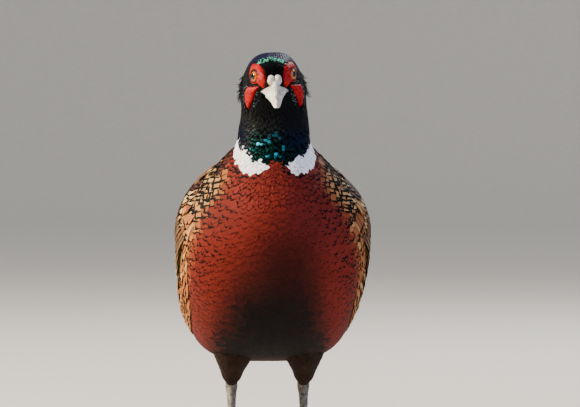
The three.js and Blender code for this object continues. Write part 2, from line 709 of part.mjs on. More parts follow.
// One visible mesh from a solid
function meshOf(solid, colour = 0x888888, roughness = 0.7) {
  const { vertProperties, triVerts } = solid.getMesh();
  const geometry = new THREE.BufferGeometry();
  geometry.setAttribute('position', new THREE.BufferAttribute(new Float32Array(vertProperties), 3));
  geometry.setIndex(new THREE.BufferAttribute(new Uint32Array(triVerts), 1));
  geometry.computeVertexNormals();
  const material = new THREE.MeshStandardMaterial({ color: colour, roughness, metalness: 0 });
  return new THREE.Mesh(geometry, material);
}

const pheasant = new THREE.Group();
const headGroup = new THREE.Group();
headGroup.position.z = rollPivotHeight;
headGroup.rotation.y = -headRoll;
pheasant.add(headGroup);
pheasant.position.y = (breastToFeet - tailTipBehindFeet) / 2;

function show(name, solid, colour, group = pheasant) {
  const mesh = meshOf(solid, colour);
  mesh.name = name;
  if (group === headGroup) mesh.position.z = -rollPivotHeight;
  group.add(mesh);
}

function showPair(name, solid, colour, group = pheasant) {
  show(`${name}_left`, solid, colour, group);
  show(`${name}_right`, mirrored(solid), colour, group);
}

show('torso', torso, 0x8a3a1c);
show('collar', collar, 0xe8e6e4);
show('neck', neck, 0x16302c);
show('head', head, 0x14241f, headGroup);
show('bill_upper', billUpper, 0xd9d0bd, headGroup);
show('bill_lower', billLower, 0xcfc4ac, headGroup);
showPair('eye', eyeBall(0), 0xd07a1a, headGroup);
showPair('wattle', wattleSkin, 0xc8201a, headGroup);
showPair('wing', wing, 0x9a8463);
show('tail', tail, 0x9c7d50);
showPair('thigh', thigh, 0x3a2a20);
showPair('shank', shank, 0x8f8b80);
showPair('foot', foot, 0x8f8b80);
showPair('spur', spur, 0x4b4640);
for (const toe of toes) {
  showPair(`claw_${toe.name}`, floorCut(tube(clawRows(toe), 6, 3, sideOf(toe))), 0x4b4640);
}

export default pheasant;
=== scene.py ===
import math

import bmesh
import bpy
import numpy as np
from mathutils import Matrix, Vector
from mathutils.bvhtree import BVHTree


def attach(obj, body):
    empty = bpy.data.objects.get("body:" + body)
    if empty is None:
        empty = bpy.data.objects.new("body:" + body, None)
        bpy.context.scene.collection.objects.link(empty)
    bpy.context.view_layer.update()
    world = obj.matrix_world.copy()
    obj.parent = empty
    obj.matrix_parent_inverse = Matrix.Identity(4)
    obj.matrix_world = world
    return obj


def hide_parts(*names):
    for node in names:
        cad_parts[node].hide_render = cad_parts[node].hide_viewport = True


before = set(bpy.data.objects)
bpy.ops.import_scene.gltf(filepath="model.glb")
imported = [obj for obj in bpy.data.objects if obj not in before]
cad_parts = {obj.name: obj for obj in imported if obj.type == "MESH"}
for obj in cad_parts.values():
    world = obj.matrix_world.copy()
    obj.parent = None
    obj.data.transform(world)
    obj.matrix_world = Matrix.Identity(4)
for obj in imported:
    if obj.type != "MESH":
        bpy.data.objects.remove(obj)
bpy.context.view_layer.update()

rng = np.random.default_rng(41)
mm = 0.001
standY = -250.0  # mm: the standing point lies this far ahead of the frame's origin
sides = ((1, "left"), (-1, "right"))


# Colour and node helpers

def toLinear(hexColour):
    parts = [int(hexColour[i:i + 2], 16) / 255 for i in (1, 3, 5)]
    return tuple(c / 12.92 if c <= 0.04045 else ((c + 0.055) / 1.055) ** 2.4 for c in parts) + (1.0,)


def rgb(hexColour):
    return np.array(toLinear(hexColour)[:3])


def newMaterial(name):
    material = bpy.data.materials.new(name)
    material.use_nodes = True
    material.node_tree.nodes.clear()
    return material, material.node_tree


def addNode(tree, kind, settings):
    # a setting is the value of a property or an input, or what feeds the input: a socket, or a node for
    # its first output. stops are the places and colours of a ramp
    node = tree.nodes.new("ShaderNode" + kind)
    for key, value in settings.items():
        if isinstance(value, bpy.types.Node):
            value = value.outputs[0]
        if key == "stops":
            elements = node.color_ramp.elements
            while len(elements) < len(value):
                elements.new(0.5)
            for element, (place, colour) in zip(elements, value):
                element.position = place
                element.color = toLinear(colour)
        elif isinstance(value, bpy.types.NodeSocket):
            tree.links.new(value, node.inputs[key])
        elif isinstance(key, str) and hasattr(node, key):
            setattr(node, key, value)
        else:
            node.inputs[key].default_value = value
    return node


def addObject(name, data):
    item = bpy.data.objects.new(name, data)
    bpy.context.scene.collection.objects.link(item)
    return item


# Camera, at the photograph's height and a little to the bird's right

cameraSettings = {
    "azimuth": -3.0,      # degrees from straight ahead
    "elevation": 1.2,
    "distance": 5.0,      # m
    "aim": (14.4, -60.0, 239.6),  # mm, the middle of the photograph's frame in the bird's own frame
    "pixel": 0.87,        # mm on the bird's breast for each pixel of the photograph
    "pixelsWide": 580,
    "sensor": 36.0,
}


def makeCamera(settings):
    data = bpy.data.cameras.new("camera")
    camera = addObject("camera", data)
    azimuth = math.radians(settings["azimuth"])
    elevation = math.radians(settings["elevation"])
    aimX, aimY, aimZ = settings["aim"]
    aim = Vector((aimX * mm, (standY + aimY) * mm, aimZ * mm))
    away = Vector((math.sin(azimuth), -math.cos(azimuth), math.tan(elevation))).normalized()
    camera.location = aim + away * settings["distance"]
    camera.rotation_euler = (-away).to_track_quat("-Z", "Y").to_euler()
    data.sensor_width = settings["sensor"]
    data.lens = settings["sensor"] * settings["distance"] / (settings["pixelsWide"] * settings["pixel"] * mm)
    data.clip_end = 50
    bpy.context.scene.camera = camera


makeCamera(cameraSettings)


# The bird's body as a surface. Each row names a place from the tail to the bill, in mm: the back's
# and the breast's outline as [y, z], the half width and how square the section is above and below.

stationRows = [
    ("tail root", (200, 173), (193, 138), 19, 2.0, 2.0),
    ("rump", (173, 189), (160, 121), 36, 2.0, 2.2),
    ("loin", (134, 209), (122, 106), 51.5, 2.0, 2.5),
    ("lower back", (92, 231), (80, 98), 64, 2.0, 3.1),
    ("mid back", (50, 250), (38, 98), 73, 2.0, 3.4),
    ("saddle", (12, 266), (-2, 107), 76, 2.0, 3.4),
    ("mantle", (-16, 279), (-46, 127), 79, 2.1, 2.9),
    ("shoulder", (-29, 289), (-85, 157), 79.5, 1.7, 2.4),
    ("breast", (-35, 298), (-108, 196), 67, 1.5, 2.2),
    ("upper breast", (-38, 305), (-113, 232), 43, 1.8, 2.1),
    ("collar foot", (-38, 311), (-105, 262), 33.5, 2.0, 2.0),
    ("collar top", (-37, 322), (-92, 289), 30.5, 2.0, 2.0),
    ("mid neck", (-37, 335), (-85, 310), 28.5, 2.0, 2.0),
    ("throat", (-40, 349), (-85, 323), 28.5, 2.1, 2.1),
    ("nape", (-47, 361), (-88, 330), 26, 2.6, 2.1),
    ("eye", (-57, 369), (-91, 334.5), 21.5, 3.0, 2.2),
    ("crown", (-70, 371), (-94, 338), 17, 2.8, 2.2),
    ("brow", (-82, 367), (-96.5, 341), 13, 2.5, 2.2),
    ("forehead", (-90, 360), (-98.5, 343.5), 9.8, 2.2, 2.2),
    ("bill root", (-94.5, 354), (-99.5, 345.5), 7.2, 2.0, 2.0),
]
stationTable = np.array([[*row[1], *row[2], *row[3:]] for row in stationRows], float)
headRoll = math.radians(3.0)
rollPivotZ = 330.0


def spline(a, b, c, d, t):
    return b + 0.5 * t * (c - a + t * (2 * a - 5 * b + 4 * c - d + t * (3 * (b - c) + d - a)))


def smoothRead(rows, s):
    # a smooth curve through evenly numbered rows of values, read at s
    rows = np.asarray(rows, float)
    i = np.clip(np.floor(s).astype(int), 0, len(rows) - 2)
    longer = np.concatenate([[2 * rows[0] - rows[1]], rows, [2 * rows[-1] - rows[-2]]])
    return spline(*(longer[i + k] for k in range(4)), (s - i)[..., None])


def ease(t):
    t = np.clip(t, 0, 1)
    return t * t * (3 - 2 * t)


def fade(value, low, high):
    return ease((np.asarray(value, float) - low) / (high - low))


def between(ends, share):
    return ends[0] + (ends[1] - ends[0]) * share


def leanHead(points, share):
    angle = -headRoll * share
    height = points[..., 2] - rollPivotZ
    x = points[..., 0] * np.cos(angle) + height * np.sin(angle)
    z = -points[..., 0] * np.sin(angle) + height * np.cos(angle)
    return np.stack([x, points[..., 1], z + rollPivotZ], -1)


def bodyPoint(s, angle, lean=1.0):
    # the coat's outer surface: angle 0 is the back, a quarter turn the bird's left side; lean 0 is the
    # head before its lean
    s, angle = np.broadcast_arrays(np.asarray(s, float), np.asarray(angle, float))
    row = smoothRead(stationTable, s)
    back, front = row[..., 0:2], row[..., 2:4]
    middle = (back + front) / 2
    up = (back - front) / 2
    c, n = np.cos(angle), np.sin(angle)
    power = 2 / np.where(c > 0, row[..., 5], row[..., 6])
    along = np.sign(c) * np.abs(c) ** power
    x = row[..., 4] * np.sign(n) * np.abs(n) ** power
    points = np.stack([x, middle[..., 0] + up[..., 0] * along, middle[..., 1] + up[..., 1] * along], -1)
    return leanHead(points, lean * ease((s - 10.5) / 1.5))


def unit(vectors):
    return vectors / np.maximum(np.linalg.norm(vectors, axis=-1, keepdims=True), 1e-9)


def bodyNormal(s, angle):
    step = 0.04
    along = bodyPoint(s + step, angle) - bodyPoint(s - step, angle)
    around = bodyPoint(s, angle + step) - bodyPoint(s, angle - step)
    return unit(np.cross(along, around))


def overBody(s, angle, height):
    # points this many mm over the coat's outer surface, and the surface's normals
    normal = bodyNormal(s, angle)
    return bodyPoint(s, angle) + normal * height[..., None], normal


# Ring distances: share 0 to 1 of the way round a ring, evenly by length, to its angle

lastStation = len(stationRows) - 1
ringSteps = np.linspace(0, lastStation, 10 * lastStation + 1)
turnSteps = np.linspace(0, 2 * np.pi, 361)
ringPoints = bodyPoint(ringSteps[:, None], turnSteps[None, :])
ringLengths = np.concatenate([
    np.zeros((len(ringSteps), 1)),
    np.cumsum(np.linalg.norm(np.diff(ringPoints, axis=1), axis=2), axis=1),
], axis=1)
shareSteps = np.linspace(0, 1, 145)
angleTable = np.array([
    np.interp(shareSteps * lengths[-1], lengths, turnSteps) for lengths in ringLengths
])


def angleAt(s, share):
    row = np.clip(s, 0, lastStation) * 10
    column = (share % 1.0) * (len(shareSteps) - 1)
    i = np.clip(row.astype(int), 0, len(ringSteps) - 2)
    j = np.clip(column.astype(int), 0, len(shareSteps) - 2)
    u, v = row - i, column - j
    top = angleTable[i, j] * (1 - v) + angleTable[i, j + 1] * v
    bottom = angleTable[i + 1, j] * (1 - v) + angleTable[i + 1, j + 1] * v
    return top * (1 - u) + bottom * u


def mirrorSide(points, side):
    return points * np.array([side, 1, 1])


def fromBird(points):
    # mm in the bird's own frame to metres in the model's
    return (points + np.array([0, standY, 0])) * mm


def fromHead(points, side):
    # mm on the left of the head, before its lean, to metres in the model
    return fromBird(leanHead(mirrorSide(points, side), 1.0))


# Meshes

def deselectAll():
    if bpy.context.mode != "OBJECT":
        bpy.ops.object.mode_set(mode="OBJECT")
    bpy.ops.object.select_all(action="DESELECT")


def meshPiece(name, points, faces, material, replaces=()):
    mesh = bpy.data.meshes.new(name)
    mesh.from_pydata(np.asarray(points).tolist(), [], [list(map(int, face)) for face in faces])
    return finishPiece(name, mesh, material, replaces)


def finishPiece(name, mesh, material, replaces=()):
    mesh.materials.clear()
    mesh.materials.append(material)
    mesh.polygons.foreach_set("use_smooth", np.full(len(mesh.polygons), True))
    mesh.update()
    piece = addObject(name, mesh)
    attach(piece, "root")
    if replaces:
        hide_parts(*replaces)
    return piece


def takeMesh(piece, reshape):
    # moves the vertices of a modelled primitive by a function of their own place
    mesh = piece.data
    points = np.empty(len(mesh.vertices) * 3)
    mesh.vertices.foreach_get("co", points)
    mesh.vertices.foreach_set("co", np.ascontiguousarray(reshape(points.reshape(-1, 3))).ravel())
    mesh.update()


def addAttribute(mesh, name, kind, values):
    layer = mesh.attributes.new(name, kind, "POINT")
    key = {"FLOAT": "value", "FLOAT_COLOR": "color", "FLOAT_VECTOR": "vector"}[kind]
    layer.data.foreach_set(key, np.ascontiguousarray(values, np.float32).ravel())


def takeBall(ball, name, reshape):
    # lays a modelled ball or ring onto a form and keeps only its mesh
    takeMesh(ball, reshape)
    mesh = ball.data
    bpy.data.objects.remove(ball)
    mesh.name = name
    turnOutwards(mesh)
    return mesh


def ballPiece(name, segments, rings, reshape, material, replaces=()):
    # a closed piece from a unit ball; reshape takes the ball's points to places in the model
    deselectAll()
    bpy.ops.mesh.primitive_uv_sphere_add(segments=segments, ring_count=rings, radius=1, location=(0, 0, 0))
    return finishPiece(name, takeBall(bpy.context.object, name, reshape), material, replaces)


def ballTurn(points):
    # a ball point's turn round its axis and its share of the way from pole to pole
    return np.arctan2(points[:, 1], points[:, 0]), np.arccos(np.clip(-points[:, 2], -1, 1)) / np.pi


def turnOutwards(mesh):
    work = bmesh.new()
    work.from_mesh(mesh)
    bmesh.ops.remove_doubles(work, verts=work.verts, dist=1e-7)
    bmesh.ops.recalc_face_normals(work, faces=work.faces)
    if work.calc_volume(signed=True) < 0:
        bmesh.ops.reverse_faces(work, faces=work.faces)
    work.to_mesh(mesh)
    work.free()


# Vane shapes: one blade of each kind, modelled once with its root at 0, tip at y = 1 and half width 1

def longHalf(t):
    return float(0.97 * (1 - t ** 2.4) ** 0.62 * min(1, .45 + 7 * t) + .03)


vaneShapes = {
    # rows are [place from root to tip, half width]; arch is how far the tip row's edges fall back
    "round": {"columns": 5, "arch": 0.15, "rows": [[0, .30], [.42, .88], [.74, 1], [.92, .84], [1, .50]]},
    "broad": {"columns": 4, "arch": 0.10, "rows": [
        [0, .26], [.25, .8], [.5, 1], [.72, .98], [.87, .86], [.96, .62], [1, .34]]},
    "loose": {"columns": 5, "arch": 0.12, "rows": [[0, .3], [.4, .72], [.7, .8], [.9, .62], [1, .3]]},
    "small": {"columns": 4, "arch": 0.14, "rows": [[0, .35], [.45, .92], [.82, .96], [1, .5]]},
    "hair": {"columns": 2, "arch": 0.0, "rows": [[0, .35], [.4, 1], [.75, .72], [1, .1]]},
    "flight": {"columns": 4, "arch": 0.02, "rows": [
        [0, .3], [.08, .7], [.2, .92], [.35, 1], [.5, 1], [.65, 1], [.78, .97], [.88, .86], [.95, .62],
        [1, .25]]},
    "long": {"columns": 4, "arch": 0.0, "rows": [
        [0, .35], *([t, longHalf(t)] for t in np.linspace(.04, 1, 25))]},
}

bladeForms = {
    # camber bends the edges down, thickness is in mm, wear is how raggedly the barbs end
    "rump": {"camber": 0.15, "thickness": 0.07, "wear": 0.05},
    "body": {"camber": 0.15, "thickness": 0.07, "wear": 0.026},
    "neck": {"camber": 0.4, "thickness": 0.11, "wear": 0.026},
    "hair": {"camber": 0.5, "thickness": 0.2, "wear": 0.0},
    "wing": {"camber": 0.45, "thickness": 0.22, "wear": 0.012},
    "plume": {"camber": 0.5, "thickness": 0.16, "wear": 0.03},
    "tail": {"camber": 0.6, "thickness": 0.3, "wear": 0.0},
    "covert": {"camber": 0.5, "thickness": 0.16, "wear": 0.04},
    "thigh": {"camber": 0.8, "thickness": 0.25, "wear": 0.0},
}


def makeVane(name, settings):
    rows, columns, arch = settings["rows"], settings["columns"], settings["arch"]
    deselectAll()
    bpy.ops.mesh.primitive_grid_add(
        x_subdivisions=columns, y_subdivisions=len(rows) - 1, size=2, location=(0, 0, 0))
    blade = bpy.context.object
    blade.name = name
    levels = np.round(np.linspace(-1, 1, len(rows)), 5)

    def shape(points):
        row = np.array([int(np.argmin(abs(levels - y))) for y in points[:, 1]])
        place, half = np.array(rows)[row].T
        fallBack = arch * np.clip((place - 0.55) / 0.45, 0, 1) * points[:, 0] ** 2
        return np.stack([points[:, 0] * half, place - fallBack, 0 * place], -1)

    takeMesh(blade, shape)
    solidify = blade.modifiers.new("thickness", "SOLIDIFY")
    solidify.thickness = 0.04
    solidify.offset = -1
    bpy.ops.object.modifier_apply(modifier=solidify.name)
    turnOutwards(blade.data)
    mesh = blade.data
    points = np.empty(len(mesh.vertices) * 3)
    mesh.vertices.foreach_get("co", points)
    across, share, height = points.reshape(-1, 3).T
    faces = [np.array(p.vertices) for p in mesh.polygons]
    bpy.data.objects.remove(blade)
    places, halves = np.array(rows).T
    # each vertex keeps its row, from its place corrected for the arch at its share of the width
    best = np.full(len(across), 9.0)
    rowOf = np.zeros(len(across), int)
    for k in range(len(rows)):
        aside = across / halves[k]
        expected = places[k] - arch * max(0, (places[k] - 0.55) / 0.45) * aside ** 2
        steps = np.abs(aside * columns / 2 - np.round(aside * columns / 2))
        miss = np.abs(share - expected) + 0.2 * steps + np.where(np.abs(aside) > 1.08, 9, 0)
        closer = miss < best
        best[closer], rowOf[closer] = miss[closer], k
    return {
        "across": across, "share": share, "row": rowOf, "top": height > -0.02,
        "u": np.clip(across / np.maximum(halves[rowOf], .05), -1, 1), "places": places,
        "loops": np.concatenate(faces), "sizes": np.array([len(face) for face in faces]),
    }


vanes = {name: makeVane(name, settings) for name, settings in vaneShapes.items()}
print("vane shapes modelled:", {name: len(vane["sizes"]) for name, vane in vanes.items()})


def placeVanes(name, vane, paths, normals, half, looks, roots, material, form, skew=0.0, crisp=True):
    # lays a copy of a vane along each path of rows, as one joined mesh. paths and normals are
    # (n, rows, 3) in mm, half is (n,) mm, looks are colours and marks, roots (n, 2) on the unwrapped skin
    count = len(paths)
    camber, thickness, wear = (bladeForms[form][key] for key in ("camber", "thickness", "wear"))
    ahead = unit(np.gradient(paths, axis=1))
    sideways = unit(np.cross(ahead, normals))
    raised = unit(np.cross(sideways, ahead))
    rows = vane["row"]
    raised = raised * np.where(np.sum(raised * normals, axis=-1, keepdims=True) < 0, -1, 1)
    across = vane["across"][None, :, None]
    share = vane["share"][None, :, None]
    half = np.asarray(half, float).reshape(count, 1, 1)
    topSide = np.where(vane["top"], 0.5, -0.5)[None, :, None]
    bend = -0.10 * across ** 2 * camber * half
    length = np.linalg.norm(paths[:, -1] - paths[:, 0], axis=1).reshape(count, 1, 1)
    # worn tips: every barb end stops a little short or runs on, the same above and below
    column = np.round((vane["u"] + 1) * 10).astype(int)
    worn = rng.normal(0, wear, (count, 21))[:, column] * np.clip((vane["share"] - 0.6) / 0.4, 0, 1)
    slide = share - vane["places"][rows][None, :, None] + worn[..., None]
    points = paths[:, rows] + sideways[:, rows] * across * half
    points += ahead[:, rows] * slide * length
    tilt = np.broadcast_to(skew, count).reshape(count, 1, 1)
    points += raised[:, rows] * (across * half * tilt)
    points += raised[:, rows] * (bend + topSide * thickness * (1.12 - 0.8 * share))
    vertexCount = len(rows)
    loops = (vane["loops"][None, :] + np.arange(count)[:, None] * vertexCount).ravel()
    sizes = np.tile(vane["sizes"], count)
    mesh = bpy.data.meshes.new(name)
    mesh.vertices.add(count * vertexCount)
    mesh.vertices.foreach_set("co", fromBird(points).astype(np.float32).ravel())
    mesh.loops.add(len(loops))
    mesh.loops.foreach_set("vertex_index", loops.astype(np.int32))
    mesh.polygons.add(len(sizes))
    starts = np.concatenate([[0], np.cumsum(sizes)[:-1]])
    mesh.polygons.foreach_set("loop_start", starts.astype(np.int32))
    mesh.update(calc_edges=True)
    mesh.validate()
    if crisp:
        mesh.set_sharp_from_angle(angle=math.radians(48))
    for key, values in looks.items():
        kind = "FLOAT_COLOR" if values.shape[-1] == 4 else "FLOAT_VECTOR"
        addAttribute(mesh, key, kind, np.repeat(values, vertexCount, axis=0))
    vaneMap = np.tile(np.stack([vane["u"] * 0.5 + 0.5, vane["share"]], -1), (count, 1))
    patch = np.stack([vane["u"] * 0.5, vane["share"] - 0.5], -1) * 0.003
    bakeMap = np.repeat(np.asarray(roots, float), vertexCount, axis=0) + np.tile(patch, (count, 1))
    for layerName, values in (("Vane", vaneMap), ("OFBake", bakeMap)):
        layer = mesh.uv_layers.new(name=layerName)
        layer.uv.foreach_set("vector", values[loops].astype(np.float32).ravel())
    return finishPiece(name, mesh, material)


# Looks of feathers: colours with their alpha, and marks

def withAlpha(colours, alpha=1.0):
    return np.hstack([colours, np.ones((len(colours), 1)) * alpha])


def varied(colours, n, amount, low=0.0, high=2.0):
    return colours * (1 + amount * rng.normal(0, 1, (n, 1))).clip(low, high)


def blend(first, second, share):
    share = np.asarray(share)[:, None]
    return first * (1 - share) + second * share


def markedLooks(base, tip, mark):
    return {"Base": base, "Tip": tip, "Mark": np.tile(mark, (len(base), 1))}


# Plumage materials. Base and tip colours ride on each feather; Mark holds how far the tip colour
# reaches up the feather, how it runs along the edges, and its gloss.

plumageSettings = {
    # barbs: streaks along a feather, coarser than life so that they show
    "bodyFeather": {  # keratin barbs, satin
        "roughness": 0.68, "specular": 0.18, "sheen": 0.02, "metal": 0.0, "barbs": 42.0, "bump": 0.3},
    "glossFeather": {  # structural colour, oily gloss
        "roughness": 0.42, "specular": 0.12, "sheen": 0.0, "metal": 0.85, "barbs": 26.0, "bump": 0.3},
}


def vaneAxes(tree):
    # on a vane: across it from -1 to 1, away from the shaft from 0 to 1, and along it from 0 to 1
    where = addNode(tree, "UVMap", {"uv_map": "Vane"})
    axes = addNode(tree, "SeparateXYZ", {"Vector": where}).outputs
    across = addNode(tree, "Math", {"operation": "MULTIPLY_ADD", 0: axes["X"], 1: 2.0, 2: -1.0})
    aside = addNode(tree, "Math", {"operation": "ABSOLUTE", 0: across})
    return across, aside, axes["Y"]


def plumageMaterial(name, settings):
    material, tree = newMaterial(name)
    base = addNode(tree, "Attribute", {"attribute_name": "Base"})
    tip = addNode(tree, "Attribute", {"attribute_name": "Tip"})
    marks = addNode(tree, "Attribute", {"attribute_name": "Mark"}).outputs["Vector"]
    mark = addNode(tree, "SeparateXYZ", {"Vector": marks}).outputs
    across, aside, along = vaneAxes(tree)
    # barbs slant from the shaft to the edge; each feather has its own streaks
    slant = addNode(tree, "Math", {"operation": "MULTIPLY_ADD", 0: aside, 1: -0.42, 2: along})
    streak = addNode(tree, "Math", {"operation": "MULTIPLY", 0: slant, 1: settings["barbs"]})
    own = addNode(tree, "Math", {"operation": "MULTIPLY", 0: base.outputs["Alpha"], 1: 61.0})
    barbPlace = addNode(tree, "CombineXYZ", {"X": across, "Y": streak, "Z": own})
    barbs = addNode(tree, "TexNoise", {"Vector": barbPlace, "Scale": 1.0, "Detail": 2.0})
    # the mark: past its start, which moves along the edges and frays with the barbs
    run = addNode(tree, "Math", {"operation": "MULTIPLY", 0: aside, 1: mark["Y"]})
    reach = addNode(tree, "Math", {"operation": "ADD", 0: along, 1: run})
    start = addNode(tree, "Math", {"operation": "SUBTRACT", 0: reach, 1: mark["X"]})
    frayed = addNode(tree, "Math", {"operation": "MULTIPLY_ADD", 0: barbs, 1: 0.09, 2: start})
    mask = addNode(tree, "MapRange", {"Value": frayed, "From Min": 0.025, "From Max": 0.065})
    tone = addNode(tree, "MixRGB", {"Fac": mask, "Color1": base, "Color2": tip})
    shade = addNode(tree, "MapRange", {
        "Value": barbs, "From Min": 0.3, "From Max": 0.7, "To Min": 0.84, "To Max": 1.12})
    streaked = addNode(tree, "VectorMath", {"operation": "SCALE", 0: tone, "Scale": shade})
    shaft = addNode(tree, "MapRange", {
        "Value": aside, "From Min": 0.02, "From Max": 0.08, "To Min": 0.84, "To Max": 1.0})
    lined = addNode(tree, "VectorMath", {"operation": "SCALE", 0: streaked, "Scale": shaft})
    bump = addNode(tree, "Bump", {"Height": barbs, "Strength": settings["bump"], "Distance": 0.0003})
    shader = addNode(tree, "BsdfPrincipled", {
        "Base Color": lined, "Normal": bump, "IOR": 1.54, "Roughness": settings["roughness"],
        "Specular IOR Level": settings["specular"], "Sheen Weight": settings["sheen"]})
    if settings["metal"]:
        metal = addNode(tree, "Math", {"operation": "MULTIPLY", 0: mark["Z"], 1: settings["metal"]})
        tree.links.new(metal.outputs[0], shader.inputs["Metallic"])
    addNode(tree, "OutputMaterial", {"Surface": shader})
    return material


bodyFeather = plumageMaterial("bodyFeather", plumageSettings["bodyFeather"])
glossFeather = plumageMaterial("glossFeather", plumageSettings["glossFeather"])


# Skin: one closed surface under the coat, from the tail to the bill

skinSettings = {
    # shade darkens the coat's colours on the skin, a painted shade for the gaps between feathers
    "segments": 96, "rings": 110, "shade": 0.45,  # shade: the skin's share of the coat's brightness
    "depthBody": 2.8, "depthNeck": 1.9, "depthHead": 1.0,  # mm under the coat's outer surface
}


def skinDepth(s):
    s = np.asarray(s, float)
    body, neck, head = (skinSettings[key] for key in ("depthBody", "depthNeck", "depthHead"))
    return body + (neck - body) * fade(s, 9.0, 11.0) + (head - neck) * fade(s, 12.5, 15.0)


def skinMaterial():
    # dark down under the coat, carrying the coat's colours darkened as painted shade, so that no gap between
    # feathers shows light
    material, tree = newMaterial("downAndSkin")
    tone = addNode(tree, "Attribute", {"attribute_name": "Base"})
    where = addNode(tree, "TexCoord", {}).outputs["Object"]
    noise = addNode(tree, "TexNoise", {"Vector": where, "Scale": 350.0, "Detail": 4.0})
    bump = addNode(tree, "Bump", {"Height": noise, "Strength": 0.6, "Distance": 0.0008})
    shader = addNode(tree, "BsdfPrincipled", {
        "Base Color": tone, "Normal": bump, "IOR": 1.5, "Roughness": 0.85})
    addNode(tree, "OutputMaterial", {"Surface": shader})
    return material


downAndSkin = skinMaterial()


# Face places: the eye, and the bare skin round it as outlines seen straight onto the eye

eyeSettings = {
    "radius": 7.2, "opening": 5.1, "proud": 1.8, "bulge": 0.5,  # mm; bulge is the cornea's
    "forward": math.radians(55),  # the eye's turn from straight ahead
}

eyeSurface = bodyPoint(np.array([16.0]), np.array([math.radians(100.5)]), lean=0.0)[0]
eyeOut = unit(np.array([math.sin(eyeSettings["forward"]), -math.cos(eyeSettings["forward"]), 0.04]))
eyeMiddle = eyeSurface + eyeOut * (eyeSettings["proud"] - eyeSettings["radius"])
faceForward = np.array([-math.cos(eyeSettings["forward"]), -math.sin(eyeSettings["forward"]), 0.0])
upperLobe = [(-7.5, -1), (-10, 4.5), (-10.2, 9), (-7, 11.4), (0, 11), (7, 8.4), (11.8, 3.8), (15.2, -2.6),
             (13.4, -7.6), (10.5, -11), (8.6, -7.4), (4.9, -6.4), (-3, -6.2)]
lowerLobe = [(5.8, -8.9), (1.2, -13), (-2.6, -18), (-7, -23.5), (-10.6, -28), (-13, -24.5), (-13.8, -19.5),
             (-13.2, -14.5), (-10, -9.2), (-3, -8.8)]
underEye = [(-8, -4), (8, -4), (7, -11), (-9, -11)]  # feathers between the lobes


def faceCoords(points, side):
    # [forward, up, depth] from the eye, for the head leaned back upright and seen from its own side
    away = mirrorSide(leanHead(points, -1.0), side) - eyeSurface
    return np.stack([away @ faceForward, away[..., 2], away @ eyeOut], -1)


def seenFace(points, s, side):
    # face places as seen from one side, and which points lie on that side of the head
    face = faceCoords(points, side)
    return face[:, :2], (points[:, 0] * side > 0) & (s > 12) & (face[:, 2] > -16)


def closedCurve(outline, count):
    outline = np.array(outline, float)
    n = len(outline)
    at = np.linspace(0, n, count, endpoint=False)
    i = at.astype(int)
    return spline(*(outline[(i + k) % n] for k in (-1, 0, 1, 2)), (at - i)[:, None])


def insideOutline(points, outline, grow=0.0):
    ring = closedCurve(outline, 90)
    if grow:
        ring = ring + unit(ring - ring.mean(axis=0)) * grow
    x0, y0 = ring.T
    x1, y1 = np.roll(ring, -1, axis=0).T
    x, y = points[:, 0:1], points[:, 1:2]
    crosses = (y0 > y) != (y1 > y)
    slope = (x1 - x0) / np.where(abs(y1 - y0) < 1e-9, 1e-9, y1 - y0)
    return (crosses & (x < x0 + slope * (y - y0))).sum(axis=1) % 2 == 1


# Markings: base colour, tip colour and mark for any place on the coat. The skin takes the base colour too.

coatColours = {
    "breast": "#792c22", "breastLow": "#401b15", "breastTip": "#0b0707", "flank": "#a05a36",
    "gold": "#b88350", "cream": "#d6bd90", "belly": "#120b09", "vent": "#14100e", "loins": "#4a2219",
    "mantle": "#a87b4a", "mantleTip": "#170c0a", "scapular": "#4b1d20", "back": "#6b5a3f",
    "backTip": "#2c1610", "rump": "#6f7762", "rumpTip": "#3c4236", "rumpSide": "#703f34",
    "collar": "#fbf9fb", "black": "#07080a",
    "teal": "#0b302f", "cyan": "#4fb2cc", "green": "#14463d", "blue": "#182a58", "purple": "#2a2150",
    "crownTip": "#29235c", "band": "#6cc4a8", "fringe": "#8fb4bd", "thigh": "#2a1c15",
}
# the white ring's lower and upper edge in s, by the turn from the back
collarEdges = {
    "turn": [0, 60, 90, 120, 145, 158, 167, 180],
    "low": [10.0, 9.8, 9.62, 9.72, 9.92, 10.12, 10.32, 10.55],
    "high": [10.75, 10.62, 10.5, 10.42, 10.42, 10.42, 10.4, 10.45],
}


def turnOf(angle):
    # degrees from the back, 180 in front, the same on both sides
    return np.abs(((angle + np.pi) % (2 * np.pi)) - np.pi) * 180 / np.pi


